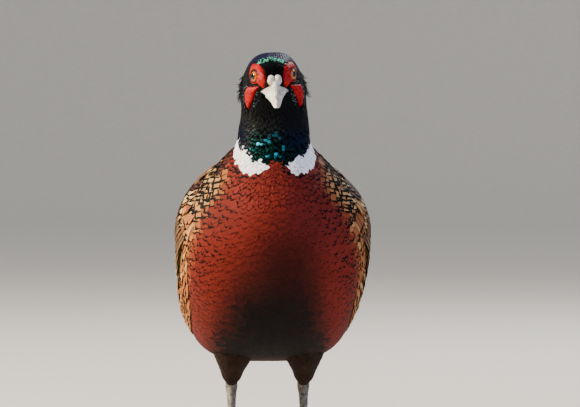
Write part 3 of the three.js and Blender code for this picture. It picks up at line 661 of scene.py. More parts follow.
def coatLooks(s, angle, points):
    n = len(s)
    turn = turnOf(angle)
    x, y, z = points.T
    c = {key: rgb(value) for key, value in coatColours.items()}
    noise = rng.normal(0, 1, n).clip(-2, 2)
    draw = rng.uniform(0, 1, n)
    ones = np.ones((n, 1))
    base = ones * c["breast"]
    tip = ones * c["breastTip"]
    mark = np.tile([0.955, -0.08, 0.0], (n, 1))  # [start of the tip colour, its run along the edges, gloss]

    # breast to flanks: red-brown, then gold and cream, with marks that grow towards the sides
    # darker towards the bottom of the front: the lower breast's own darker colour, deepened with painted
    # shade under the body
    base = blend(base, c["breastLow"], fade(215 - z, 0, 80) * fade(turn, 140, 168))
    side = fade(turn, 160, 118)
    mark[:, 0] -= 0.03 * side
    mark[:, 1] += 0.17 * side
    rear = fade(s, 2.9, 3.9)  # gold and cream end ahead of the tail
    edge = 8 * fade(s, 7.0, 8.4)
    flank = fade(turn, 124 - edge, 108 - edge) * fade(s, 9.2, 8.2) * fade(s, 3.2, 4.6)
    base = blend(base, c["flank"], flank * 0.85)
    gold = fade(turn, 115 + 3 * noise, 101) * fade(s, 9.2, 8.4) * rear
    base = blend(base, c["gold"], gold * 0.9)
    cream = fade(turn, 106 + 5 * noise, 92) * fade(s, 9.0, 8.2) * fade(turn, 58, 70) * rear
    base = blend(base, c["cream"], cream * (0.35 + 0.55 * draw) * (1 - 0.3 * fade(s, 7.2, 8.4)))
    mark[:, 0] -= 0.03 * gold
    mark[:, 1] += (0.03 + 0.13 * fade(s, 7.2, 8.0)) * gold
    # painted shade: a darker band down the middle of the breast, where the hollow between its two lobes turns
    # away from the key light
    paintedCreaseShade = fade(np.abs(x - 12), 44, 4) * fade(s, 9.2, 7.6) * fade(turn, 90, 120)
    base = base * (1 - 0.62 * paintedCreaseShade[:, None])
    # the belly's own blackish colour, made darker still as painted shade
    ragged = turn + 5 * noise
    low = fade(ragged, 143, 163) * fade(s, 6.4, 5.2)
    base = blend(base, c["belly"], np.maximum(low, fade(ragged, 154, 173) * fade(s, 7.5, 6.4)))
    base = blend(base, c["loins"], fade(s, 4.9, 3.6) * fade(turn, 62, 84))
    base = blend(base, c["vent"], fade(s, 2.8, 1.8) * fade(turn, 80, 110))

    # back: gold mantle, brown saddle, grey-green rump with rufous sides
    back = fade(turn, 66, 50) * fade(s, 9.9, 9.5)
    saddle = back * fade(s, 6.4, 5.4)
    rump = back * fade(s + 0.15 * noise, 5.0, 3.8)
    rumpSide = rump * fade(turn + 4 * noise, 26, 44)
    for shade, tipShade, baseShare, tipShare in (
            ("mantle", "mantleTip", back * fade(s, 5.0, 6.2), back), ("back", "backTip", saddle, saddle),
            ("rump", "rumpTip", rump, rump), ("rumpSide", "mantleTip", rumpSide, rumpSide)):
        base = blend(base, c[shade], baseShare)
        tip = blend(tip, c[tipShade], tipShare)
    onBack = back > 0.5
    mark[onBack, 0] = (0.80 + 0.07 * rump)[onBack]
    mark[onBack, 1] = (0.06 - 0.02 * rump)[onBack]
    shoulder = fade(turn, 92, 76) * fade(turn, 36, 50) * fade(s, 9.8, 9.2) * fade(s, 5.2, 6.0)
    speckled = (draw < 0.5 + 0.3 * fade(s, 7.6, 8.8)).astype(float)
    base = blend(base, c["scapular"], shoulder * speckled * 0.9)

    # the white ring, with black scallops below it
    low, high = (np.interp(turn, collarEdges["turn"], collarEdges[key]) for key in ("low", "high"))
    skewed = s + 0.05 * noise
    inCollar = (skewed > low) & (skewed < high) & (turn < 167)
    neck = (~inCollar) & (skewed > (low + high) / 2)
    scallops = (~inCollar) & (~neck) & (skewed > low - 0.13) & (turn < 168)
    base[inCollar] = c["collar"]
    tip[inCollar] = c["collar"]
    tip[scallops] = c["breastTip"]
    mark[scallops, 0] = 0.84
    mark[scallops, 1] = 0.0

    # black head and neck: coloured gloss low on the neck, greener in front and bluer at the sides, with
    # painted glints, painted shade and a gloss painted stronger on the lit side
    clump = np.sin(x * 0.42 + 1.3) * np.sin(z * 0.36 + x * 0.2) + 0.35 * noise
    gloss = blend(ones * c["teal"], c["green"], fade(-clump, 0.2, 0.9))
    # painted highlight: cyan glints where the key light catches the gloss, on the bird's right and middle
    # only
    paintedGlint = fade(clump, 0.34, 0.8) * fade(z, 278, 284) * fade(z, 308, 302)
    gloss = blend(gloss, c["cyan"], paintedGlint * fade(x, 12, 4) * fade(turn, 125, 145))
    # bluer at both sides, and on the bird's left, away from the key light, a painted cool blue shade
    aside = np.maximum(fade(turn, 140, 112) * 0.7, fade(x, 3, 15) * fade(z, 286, 294) * 0.75)
    gloss = blend(gloss, c["blue"], aside)
    gloss = blend(gloss, c["purple"], fade(turn, 112, 84) * 0.8)
    lowNeck = fade(s + 0.1 * noise, 11.8, 10.9)
    # painted light and shade: the gloss colour is stronger on the bird's right, towards the key light, weaker
    # on its left, and darkened at its right-hand edge towards the front
    paintedEdgeShade = 1 - 0.8 * fade(x, -17, -26) * fade(turn, 100, 112)
    strength = 0.04 + (0.80 - 0.40 * fade(x, 0, 18)) * lowNeck * paintedEdgeShade
    crown = fade(turn, 80, 56) * fade(s, 12.6, 14.2)
    gloss = blend(gloss, c["crownTip"], crown * (0.35 + 0.65 * draw))
    strength = np.maximum(strength, crown * 0.75)
    # the green band that arches over the forehead, black below it
    fromArch = np.abs(z - (364.8 - 0.022 * (x + 3) ** 2))
    arch = fade(fromArch, 2.6, 1.0) * fade(y, -72, -78) * (np.abs(x + 3) < 12) * (draw > 0.35)
    gloss = blend(gloss, c["band"], arch)
    forehead = fade(y, -78, -84) * fade(z, 350, 354) * (1 - arch) * (z < 364.5)
    strength = np.maximum(strength * (1 - forehead), arch)
    fringe = np.zeros(n)
    for way in (1, -1):
        face, near = seenFace(points, s, way)
        beside = insideOutline(face, lowerLobe, 4.4) | insideOutline(face, underEye)
        fringe = np.maximum(fringe, (beside & near).astype(float))
    fringe = fringe * (draw > 0.32)
    gloss = blend(gloss, c["fringe"], fringe)
    strength = np.maximum(strength, fringe * 0.8)
    base[neck] = c["black"]
    tip[neck] = blend(ones * c["black"], gloss, strength)[neck]
    # rounded scales low on the neck, streaks down the shaft in the forehead's arch, specks by the face skin
    start = 0.74 - 0.34 * arch + 0.12 * fringe
    run = -0.10 - 0.45 * arch
    # the metal gloss follows strength, so it too is painted stronger on the lit side
    sheen = np.maximum(strength * (1 - crown), 0.35 * crown) * (1 - 0.8 * fringe)
    sheen = np.where(sheen < 0.15, 0.0, sheen)
    mark[neck] = np.stack([start, run, sheen], -1)[neck]

    base = varied(base, n, 0.05, 0.85, 1.15)
    return {"Base": withAlpha(base.clip(0, 1), draw[:, None]), "Tip": withAlpha(tip.clip(0, 1)), "Mark": mark}


def makeSkin(settings):
    spots = {}

    def lay(points):
        share = (np.arctan2(points[:, 0], points[:, 1]) / (2 * np.pi)) % 1.0
        s = ballTurn(points)[1] * (lastStation - 0.05)
        angle = angleAt(s, share)
        surface = overBody(s, angle, -skinDepth(s))[0]
        for i in np.where(np.hypot(points[:, 0], points[:, 1]) < 1e-4)[0]:
            # the poles close in the middle of their rings
            surface[i] = bodyPoint(np.full(24, s[i]), np.linspace(0, 2 * np.pi, 25)[:-1]).mean(axis=0)
        spots["s"], spots["angle"], spots["points"] = s, angle, surface
        return fromBird(surface)

    piece = ballPiece("skin", settings["segments"], settings["rings"], lay, downAndSkin,
                      ("torso", "collar", "neck", "head"))
    tone = coatLooks(spots["s"], spots["angle"], spots["points"])["Base"]
    # painted shade: the coat's colours at a share of their brightness, for the shadowed gaps between feathers
    tone[:, :3] *= settings["shade"]
    addAttribute(piece.data, "Base", "FLOAT_COLOR", tone)
    print("skin laid:", len(piece.data.polygons), "faces")


makeSkin(skinSettings)


# Bill measures, also kept clear by the coat

billSettings = {
    # [y, culmen, cutting edge, half width of the ridge, half width at the edge] in mm
    "upper": [[-84, 352, 338, 3.4, 12.4], [-92, 350.8, 337, 3.2, 12.0], [-96, 349.0, 335.6, 2.9, 9.8],
              [-100, 346.6, 333.0, 2.7, 7.5], [-105, 342.0, 329.8, 2.5, 5.5], [-110, 335.6, 326.2, 2.2, 3.9],
              [-113.4, 329.4, 323.6, 1.6, 2.7], [-115, 325.2, 322.8, 0.8, 1.4]],
    "lower": [[-84, 338, 330, 9.5, 8], [-92, 336, 328.6, 8.6, 6.4], [-99, 333, 326.6, 6.6, 4.6],
              [-105, 329.6, 325.2, 3.8, 2.6], [-109.5, 327.0, 324.2, 2.0, 1.4]],
    "flare": 1.7,
    "nick": 0.006,  # wear of the cutting edges, a share of their width
    "palate": 1.2,  # mm
    "lid": {"middle": (2.9, -95.6, 346.8), "radii": (3.7, 5.4, 4.9)},
    "slit": {"middle": (6.2, -99.5, 342.0), "radii": (2.6, 3.4, 1.0), "depth": 0.9},
}


# Coat of the body, neck and head: feathers in columns along the lie, each column offset from the last

coatSettings = {
    "columns": 120, "most": 1200,  # most: feathers in one piece
    "bodyStep": 3.9, "neckStep": 2.9, "headStep": 1.35,  # mm from root to root along the lie
    "wingRise": 4.6, "tailRise": 7.5,  # mm by which the coat rises over the wing's edge and the tail's root
}
wingBed = {"middle": (4.9, 74.0), "reach": (2.35, 30.0)}


def stepAt(s, turn):
    spread = 0.25 * fade(s, 6.5, 4.5) + 0.36 * fade(turn, 175, 128) - 0.02 * fade(turn, 90, 50)
    body = coatSettings["bodyStep"] * (1 + spread)
    neck = coatSettings["neckStep"]
    head = coatSettings["headStep"]
    return body + (neck - body) * fade(s, 9.4, 10.6) + (head - neck) * fade(s, 11.6, 14.0)


def fromWingBed(s, turn, shrink=0.0):
    # distance from the middle of the folded wing's bed, 1 at its edge
    across = (s - wingBed["middle"][0]) / (wingBed["reach"][0] - 0.055 * shrink)
    around = (turn - wingBed["middle"][1]) / (wingBed["reach"][1] - shrink)
    return np.sqrt(across ** 2 + around ** 2)


def wingLift(s, turn):
    # the flank's and shoulder's feathers rise over the edge of the folded wing
    return coatSettings["wingRise"] * fade(fromWingBed(s, turn), 1.30, 0.98) * fade(s, 3.2, 4.6)


def coatColumns(settings):
    # roots on each column; where columns crowd together only every second, third or fourth is used
    fine = np.linspace(0.02, lastStation - 0.05, 1200)
    roots, tracks = [], []
    for column in range(settings["columns"]):
        share = column / settings["columns"]
        angle = angleAt(fine, np.full(len(fine), share))
        points = bodyPoint(fine, angle)
        lengths = np.concatenate([[0], np.cumsum(np.linalg.norm(np.diff(points, axis=0), axis=1))])
        step = stepAt(fine, turnOf(angle))
        spacing = np.interp(fine, ringSteps, ringLengths[:, -1]) / settings["columns"]
        level = np.clip(np.round(0.95 * step / spacing), 1, 4)
        counted = np.cumsum(np.gradient(lengths) / step)
        tracks.append((fine, lengths))
        for every in (1, 2, 3, 4):
            if column % every:
                continue
            offset = 0.5 * ((column // every) % 2)
            wanted = np.arange(offset, counted[-1], 1.0)
            wanted = wanted + rng.normal(0, 0.11, len(wanted))
            s = np.interp(wanted, counted, fine)
            here = np.round(np.interp(s, fine, level)) == every
            pitch = np.interp(s, fine, spacing) * every
            roots += [(value, share, column, wide) for value, wide in zip(s[here], pitch[here])]
    return np.array(roots), tracks


def featherPaths(s0, share, column, length, places, tracks, depth, lift):
    # rows of points and normals along the lie, from each root to its tip
    s = np.empty((len(s0), len(places)))
    over = np.zeros(s.shape)  # mm past the end of the body, over the tail
    for k in np.unique(column.astype(int)):
        rows = column == k
        fine, lengths = tracks[int(k)]
        start = np.interp(s0[rows], fine, lengths)
        wanted = start[:, None] - length[rows][:, None] * places[None, :]
        s[rows] = np.interp(wanted, lengths, fine)
        over[rows] = np.maximum(0, lengths[0] - wanted)
    drift = rng.normal(0, 0.0022, (len(s0), 1)) * places[None, :] ** 2
    angle = angleAt(s, share[:, None] + drift)
    points = bodyPoint(s, angle)
    points[..., 1] += over
    normal = bodyNormal(s, angle)
    t = places[None, :]
    height = -depth[:, None] * (1 - t) ** 1.7 + lift[:, None] * t ** 2
    height = height + wingLift(s, turnOf(angle)) * (t ** 0.5)
    height = height + (coatSettings["tailRise"] * fade(s, 1.15, 0.0) - 0.16 * over) * (t ** 0.4)
    return points + normal * height[..., None], normal, s, angle


def inBill(points):
    # under the horn of the bill, seen in the head's upright frame
    x, y, z = leanHead(points, -1.0).T
    rows = np.array(billSettings["upper"], float)
    top, bottom, ridge, edge = (np.interp(-y, -rows[:, 0], rows[:, k]) for k in (1, 2, 3, 4))
    rise = np.clip((z - bottom) / (top - bottom), 0, 1)
    wide = ridge + (edge - ridge) * (1 - rise) ** billSettings["flare"]
    return (y < -88) & (np.abs(x) < wide - 1.2) & (z < top - 0.5) & (z > 329)


def makeCoat(settings):
    roots, tracks = coatColumns(settings)
    s0, share, column, pitch = roots.T
    share = share + rng.normal(0, 0.0012, len(share))
    angle = angleAt(s0, share)
    turn = turnOf(angle)
    points = bodyPoint(s0, angle)
    keep = (fromWingBed(s0, turn, 7.0) >= 1) & ~inBill(points)
    for side in (1, -1):
        face, near = seenFace(points, s0, side)
        bare = insideOutline(face, upperLobe, -0.4) | insideOutline(face, lowerLobe, -0.4)
        keep &= ~(near & (bare | (np.hypot(face[:, 0], face[:, 1]) < 6.2)))
    step = stepAt(s0, turn)
    below = turn >= 90
    zones = [
        # name, places, vane, blade form, slot
        ("coat_rump", (s0 < 4.2) & ~below, "loose", "rump", "breast_plumage"),
        ("coat_belly", (s0 < 6.0) & below, "round", "body", "breast_plumage"),
        ("coat_mantle", (s0 >= 4.2) & (s0 < 9.5) & ~below, "round", "body", "breast_plumage"),
        ("coat_breast", (s0 >= 6.0) & (s0 < 9.5) & below, "round", "body", "breast_plumage"),
        ("coat_collar", (s0 >= 9.5) & (s0 < 11.0), "round", "neck", "collar_plumage"),
        ("coat_neck", (s0 >= 11.0) & (s0 < 12.6), "small", "neck", "neck_plumage"),
        ("coat_head", s0 >= 12.6, "hair", "neck", "neck_plumage"),
    ]
    for zoneName, zone, shape, form, slot in zones:
        vane = vanes[shape]
        chosen = np.where(zone & keep)[0]
        chosen = chosen[np.argsort(share[chosen] % 1.0, kind="stable")]
        for number, rows in enumerate(np.array_split(chosen, math.ceil(len(chosen) / settings["most"]))):
            n = len(rows)
            cover = 4.0 + 0.5 * fade(s0[rows], 9.5, 11.0) + (1.6 if shape == "loose" else 0.0)
            length = step[rows] * cover * (1 + rng.normal(0, 0.10, n))
            depth = skinDepth(s0[rows]) * 0.85
            lift = np.abs(rng.normal(0, 0.05, n))
            paths, normals, s, angles = featherPaths(
                s0[rows], share[rows], column[rows], length, vane["places"], tracks, depth, lift)
            half = pitch[rows] * (1 + rng.normal(0, 0.10, n))
            looks = coatLooks(s[:, -2], angles[:, -2], paths[:, -2])
            unwrapped = np.stack([0.03 + 0.94 * (share[rows] % 1), 0.03 + 0.94 * s0[rows] / lastStation], -1)
            skew = rng.normal(0, 0.010, n)
            glossy = looks["Mark"][:, 2] > 0
            for kind, label, material in ((glossy, "gloss", glossFeather), (~glossy, "plain", bodyFeather)):
                if not kind.any():
                    continue
                name = "_".join([zoneName, label, str(number + 1)])
                chosenLooks = {key: value[kind] for key, value in looks.items()}
                piece = placeVanes(
                    name, vane, paths[kind], normals[kind], half[kind], chosenLooks, unwrapped[kind],
                    material, form, skew[kind], crisp=slot == "breast_plumage")
                print(name, int(kind.sum()), "feathers,", len(piece.data.polygons), "faces")


# Loose hairs at the cheeks and the ear tufts, which stand off the head, and the bristles of the brow

hairSettings = {
    # ranges of s, of the turn from the back, of the length and of the tip's sag in mm; reach is the heading
    # with its spread
    "cheek": {"count": 110, "s": (12.8, 14.1), "turn": (64, 100), "length": (2.5, 7.0), "sag": (0.3, 3.0),
              "half": 0.24, "reach": ((0.62, 0.16), (0.45, 0.2), (-0.45, 0.3))},
    "ear": {"count": 16, "s": (13.15, 13.45), "turn": (42, 58), "length": (7, 10.5), "sag": -0.6,
            "half": 0.8, "reach": ((0.42, 0.07), (0.85, 0), (0.28, 0.10))},
    "brow": {"count": 150, "x": (-7.2, 7.2), "z": (347.5, 356.5), "length": (3.6, 5.4), "bow": 0.9,
             "half": 0.55},
}


def makeHairs(settings):
    vane = vanes["hair"]
    t = vane["places"]
    cheek, ear, brow = (settings[key] for key in ("cheek", "ear", "brow"))
    paths, normals, halves, roots = [], [], [], []

    def addHair(path, normal, half, root):
        paths.append(leanHead(path, 1.0))
        normals.append(np.tile(unit(np.array(normal)), (len(t), 1)))
        halves.append(half)
        roots.append(root)

    for side in (1, -1):
        for kind in [cheek] * cheek["count"] + [ear] * ear["count"]:
            s, angle = rng.uniform(*kind["s"]), rng.uniform(*kind["turn"])
            reach = [middle + (rng.normal(0, spread) if spread else 0) for middle, spread in kind["reach"]]
            length = rng.uniform(*kind["length"])
            sag = rng.uniform(*kind["sag"]) if kind is cheek else kind["sag"]
            root = bodyPoint(np.array([s]), np.array([math.radians(angle)]), lean=0.0)[0]
            path = root + np.outer(t * length - 1.2, unit(np.array(reach)))
            path[:, 2] -= sag * t ** 2
            place = [0.5 + side * angle / 400, s / 20]
            addHair(mirrorSide(path, side), [0.4 * side, -0.5, 0.7], kind["half"], place)
    for _ in range(brow["count"]):
        x, z = rng.uniform(*brow["x"]), rng.uniform(*brow["z"])
        root = np.array([x, -94.5 - (354 - z) * 0.59 - 0.2, z])
        reach = unit(np.array([0.05 * x, 0.62 + rng.normal(0, 0.12), 0.9]))
        path = root + np.outer(t * rng.uniform(*brow["length"]), reach)
        path[:, 1] -= brow["bow"] * np.sin(math.pi * t)
        addHair(path, [0.05 * x, -0.9, 0.6], brow["half"], [0.5 + x / 100, 0.96])
    dark = np.tile([*rgb(coatColours["black"]), 0.5], (len(paths), 1))
    placeVanes("cheek_hairs", vane, np.array(paths), np.array(normals), halves,
               markedLooks(dark, dark, [0.9, 0.0, 0.1]), roots, glossFeather, "hair")


makeCoat(coatSettings)
makeHairs(hairSettings)


# Eyes

def eyeMaterial():
    # wet cornea over an orange iris with fine spokes and a black pupil
    material, tree = newMaterial("irisUnderCornea")
    ring = addNode(tree, "Attribute", {"attribute_name": "Ring"}).outputs["Fac"]
    turn = addNode(tree, "Attribute", {"attribute_name": "Turn"}).outputs["Vector"]
    spokes = addNode(tree, "TexNoise", {"Vector": turn, "Scale": 5.0, "Detail": 4.0})
    iris = addNode(tree, "ValToRGB", {"Fac": ring, "stops": [
        (0.0, "#030303"), (0.41, "#040303"), (0.45, "#8a3f08"), (0.56, "#d47c14"),
        (0.72, "#cf6a0c"), (0.82, "#7a3006"), (0.90, "#150a06"), (1.0, "#0b0807")]})
    shade = addNode(tree, "MapRange", {
        "Value": spokes, "From Min": 0.3, "From Max": 0.7, "To Min": 0.7, "To Max": 1.15})
    tone = addNode(tree, "VectorMath", {"operation": "SCALE", 0: iris, "Scale": shade})
    shader = addNode(tree, "BsdfPrincipled", {
        "Base Color": tone, "Roughness": 0.25, "IOR": 1.38, "Specular IOR Level": 0.2,
        "Coat Weight": 1.0, "Coat Roughness": 0.12, "Coat IOR": 1.5})
    addNode(tree, "OutputMaterial", {"Surface": shader})
    return material


def makeEyes(settings):
    material = eyeMaterial()
    upAxis = np.cross(eyeOut, faceForward)
    upAxis = upAxis * np.sign(upAxis[2])
    for side, label in sides:
        spots = {}

        def lay(points):
            radius = settings["radius"] + settings["bulge"] * np.exp(-((1 - points[:, 2]) / 0.16) ** 2)
            local = points * radius[:, None]
            place = eyeMiddle + local[:, 0:1] * faceForward + local[:, 1:2] * upAxis + local[:, 2:3] * eyeOut
            spots["ring"] = np.arccos(np.clip(points[:, 2], -1, 1)) / 0.80
            spots["turn"] = unit(np.stack([points[:, 0], points[:, 1], 0 * points[:, 0] + 1e-4], -1))
            return fromHead(place, side)

        eye = ballPiece("eyeball_" + label, 48, 32, lay, material, ("eye_" + label,))
        addAttribute(eye.data, "Ring", "FLOAT", spots["ring"])
        addAttribute(eye.data, "Turn", "FLOAT_VECTOR", spots["turn"])


makeEyes(eyeSettings)
print("eyes set")


# Bare red face skin with its folds and small warts, and the lids

wattleSettings = {
    "thickness": 1.7, "rimSink": 0.6, "eyeSink": 3.2, "under": 1.6, "lidThick": 0.6,  # mm
    "spokes": 96, "rings": 26,
}


def faceTree():
    s = np.linspace(11.5, 18.9, 90)
    angle = np.linspace(0, 2 * np.pi, 145)
    points = bodyPoint(s[:, None], angle[None, :], lean=0.0)
    count = points.shape[1]
    faces = [(i * count + j, i * count + j + 1, (i + 1) * count + j + 1, (i + 1) * count + j)
             for i in range(len(s) - 1) for j in range(count - 1)]
    return BVHTree.FromPolygons([tuple(p) for p in points.reshape(-1, 3)], faces)


headTree = faceTree()


def onFace(forward, up, height):
    points = np.empty((len(forward), 3))
    for i in range(len(forward)):
        start = eyeSurface + faceForward * forward[i] + eyeOut * 40
        start[2] += up[i]
        hit = headTree.ray_cast(Vector(start), Vector(-eyeOut))[0]
        points[i] = np.array(hit) if hit else start - eyeOut * 44
    return points + eyeOut * height[:, None]


def wattleMaterial():
    # bare, blood-filled skin, finely warted and slightly moist
    material, tree = newMaterial("bareFaceSkin")
    where = addNode(tree, "TexCoord", {}).outputs["Object"]
    warts = addNode(tree, "TexVoronoi", {"Vector": where, "Scale": 1 / 0.0007})  # 0.7 mm apart
    patches = addNode(tree, "TexNoise", {"Vector": where, "Scale": 260.0, "Detail": 3.0})
    tone = addNode(tree, "ValToRGB", {
        "Fac": patches, "stops": [(0.3, "#8c0805"), (0.5, "#b90f08"), (0.7, "#d2220f")]})
    # painted shade: the skin darker in the pits between the warts and a little lighter on their tops
    paintedPitShade = addNode(tree, "MapRange", {
        "Value": warts, "From Min": 0.0, "From Max": 0.7, "To Min": 1.08, "To Max": 0.72})
    shaded = addNode(tree, "VectorMath", {"operation": "SCALE", 0: tone, "Scale": paintedPitShade})
    height = addNode(tree, "Math", {"operation": "SUBTRACT", 0: 1.0, 1: warts})
    bump = addNode(tree, "Bump", {"Height": height, "Strength": 0.6, "Distance": 0.0003})
    shader = addNode(tree, "BsdfPrincipled", {
        "Base Color": shaded, "Normal": bump, "Roughness": 0.5, "IOR": 1.45,
        "Subsurface Weight": 0.15, "Subsurface Radius": (0.8, 0.2, 0.1), "Subsurface Scale": 0.001})
    addNode(tree, "OutputMaterial", {"Surface": shader})
    return material


def makeWattles(settings):
    material = wattleMaterial()
    spokes, rings = settings["spokes"], settings["rings"]
    shares = np.linspace(0, 1, rings + 1)[1:] ** 0.8
    share = np.concatenate([[0], np.repeat(shares, spokes)])
    rim = np.sqrt(np.clip(1 - share ** 6, 0, 1))
    surfaces = []
    for outline in (upperLobe, lowerLobe):
        ring = closedCurve(outline, spokes)
        middle = ring.mean(axis=0)
        forward, up = (
            np.concatenate([[middle[k]], (middle[k] + (ring[:, k] - middle[k]) * shares[:, None]).ravel()])
            for k in (0, 1))
        warts = 0.22 * np.sin(forward * 3.9) * np.sin(up * 3.5 + forward)
        warts = warts + 0.16 * np.sin(forward * 1.3 + up * 2.1)
        swollen = settings["thickness"] * (0.75 + 0.25 * np.sqrt(1 - share ** 2)) + warts
        height = swollen * rim - settings["rimSink"] * (1 - rim)
        height = height - settings["eyeSink"] * fade(np.hypot(forward / 1.08, up), 6.6, 4.6)
        surfaces.append(onFace(forward, up, height))
    faces = [(0, 1 + j, 1 + (j + 1) % spokes) for j in range(spokes)]
    for i in range(rings - 1):
        for j in range(spokes):
            a, b = 1 + i * spokes + j, 1 + i * spokes + (j + 1) % spokes
            faces.append((a, a + spokes, b + spokes, b))
    points, allFaces = [], []
    for surface in surfaces:
        start = sum(len(p) for p in points)
        points += [surface, surface - eyeOut * settings["under"]]
        allFaces += [tuple(start + k for k in face) for face in faces]
        allFaces += [tuple(start + len(surface) + k for k in reversed(face)) for face in faces]
        outer = start + 1 + (rings - 1) * spokes
        inner = outer + len(surface)
        for j in range(spokes):
            after = (j + 1) % spokes
            allFaces.append((outer + j, outer + after, inner + after, inner + j))
    for side, label in sides:
        piece = meshPiece("face_skin_" + label, fromHead(np.concatenate(points), side), allFaces, material,
                          ("wattle_" + label,))
        turnOutwards(piece.data)


makeWattles(wattleSettings)


def lidMaterial():
    # thin dark skin of the lid's edge
    material, tree = newMaterial("lidSkin")
    where = addNode(tree, "TexCoord", {}).outputs["Object"]
    grain = addNode(tree, "TexNoise", {"Vector": where, "Scale": 1500.0, "Detail": 3.0})
    tone = addNode(tree, "ValToRGB", {"Fac": grain, "stops": [(0.35, "#0b0707"), (0.65, "#241010")]})
    bump = addNode(tree, "Bump", {"Height": grain, "Strength": 0.5, "Distance": 0.0002})
    shader = addNode(tree, "BsdfPrincipled", {
        "Base Color": tone, "Normal": bump, "Roughness": 0.45, "IOR": 1.45})
    addNode(tree, "OutputMaterial", {"Surface": shader})
    return material


def makeLids(settings):
    material = lidMaterial()
    upAxis = np.array([0, 0, 1.0])
    minor = 0.14  # the modelled ring's thickness for a radius of 1
    opening = eyeSettings["opening"]
    seat = math.sqrt(eyeSettings["radius"] ** 2 - opening ** 2) + 0.35
    for side, label in sides:
        deselectAll()
        bpy.ops.mesh.primitive_torus_add(
            major_radius=1, minor_radius=minor, major_segments=56, minor_segments=12, location=(0, 0, 0))

        def lay(points):
            turn = np.arctan2(points[:, 1], points[:, 0])
            radial = np.hypot(points[:, 0], points[:, 1]) - 1
            radius = opening * (0.99 + 0.06 * np.cos(turn) ** 2) + radial * settings["lidThick"] / minor
            out = seat + points[:, 2] / minor * settings["lidThick"]
            place = (eyeMiddle + np.outer(radius * np.cos(turn), faceForward)
                     + np.outer(radius * np.sin(turn), upAxis) + np.outer(out, eyeOut))
            return fromHead(place, side)

        name = "eyelid_" + label
        finishPiece(name, takeBall(bpy.context.object, name, lay), material)


makeLids(wattleSettings)
print("face skin and lids made")


# Bill: two halves of horn

def billMaterial():
    # ivory horn, faintly streaked along its growth and worn to a satin
    material, tree = newMaterial("billHorn")
    where = addNode(tree, "TexCoord", {}).outputs["Object"]
    stretched = addNode(tree, "Mapping", {"Vector": where, "Scale": (900.0, 120.0, 300.0)})
    streaks = addNode(tree, "TexNoise", {"Vector": stretched, "Scale": 1.0, "Detail": 5.0})
    blotches = addNode(tree, "TexNoise", {"Vector": where, "Scale": 140.0, "Detail": 3.0})
    mixed = addNode(tree, "Math", {"operation": "MULTIPLY_ADD", 0: streaks, 1: 0.5, 2: blotches})
    tone = addNode(tree, "ValToRGB", {
        "Fac": mixed, "stops": [(0.5, "#a3977e"), (0.68, "#cdc6b5"), (0.9, "#e8e5dd")]})
    bump = addNode(tree, "Bump", {"Height": mixed, "Strength": 0.25, "Distance": 0.0003})
    shader = addNode(tree, "BsdfPrincipled", {
        "Base Color": tone, "Normal": bump, "Roughness": 0.38, "IOR": 1.54,
        "Subsurface Weight": 0.12, "Subsurface Radius": (1.0, 0.7, 0.4), "Subsurface Scale": 0.0015})
    addNode(tree, "OutputMaterial", {"Surface": shader})
    return material


def makeBill(settings):
    material = billMaterial()
    for half in ("upper", "lower"):
        rows = np.array(settings[half], float)
        flared = half == "upper"

        def lay(points):
            turn, share = ballTurn(points)
            along = np.clip(share * 1.06 - 0.03, 0, 1)
            closing = np.minimum(1, np.sqrt(np.clip(np.minimum(share, 1 - share) / 0.03, 0, 1)))
            y, top, bottom, halfTop, halfBottom = smoothRead(rows, along * (len(rows) - 1)).T
            across, up = np.cos(turn), np.sin(turn)
            rise = np.maximum(0, up) if flared else (1 + up) / 2
            power = settings["flare"] if flared else 1.0
            wide = halfTop + (halfBottom - halfTop) * (1 - rise) ** power
            wide = wide * (np.sign(across) * np.sqrt(np.abs(across)) if flared else across)
            middle = (top + bottom) / 2
            height = bottom + (top - bottom) * rise
            if flared:
                # small nicks worn into the cutting edges, and a hollow palate
                nicks = settings["nick"] * np.sin(y * 2.3 + 3 * np.sign(across))
                wide = wide * (1 + nicks * fade(rise, 0.3, 0.0))
                hollow = np.maximum(0, -up) * fade(along, 0.0, 0.4) * fade(along, 1.0, 0.8)
                height = height + settings["palate"] * hollow
            place = np.stack([wide * closing, y, middle + (height - middle) * closing], -1)
            if flared:
                # a slit under each nostril lid
                slit = settings["slit"]
                shares = ((mirrorSide(place, side) - slit["middle"]) / slit["radii"] for side in (1, -1))
                depth = sum(np.exp(-(share ** 2).sum(-1)) for share in shares)
                away = unit(place - np.stack([0 * y, y + 2, middle - 1], -1))
                place = place - away * (slit["depth"] * depth)[:, None]
            return fromHead(place, 1)

        ballPiece("bill_horn_" + half, 96, 90, lay, material, ("bill_" + half,))

    lid = settings["lid"]
    for side, label in sides:
        def layLid(points):
            # swollen lid, drawn out forwards and folded in at its lower edge
            x, y, z = points.T
            place = points * np.array(lid["radii"])
            place[:, 2] += 0.5 * fade(-y, 0, 1)
            lumps = np.sin(x * 5 + 1) * np.sin(z * 6) + 0.6 * np.sin(y * 11 + z * 9)
            place *= (1 + 0.022 * lumps)[:, None]
            return fromHead(place + np.array(lid["middle"]), side)

        ballPiece("nostril_lid_" + label, 40, 28, layLid, material)


makeBill(billSettings)
print("bill made")


# Wings: coverts, secondaries and primaries over the folded arm

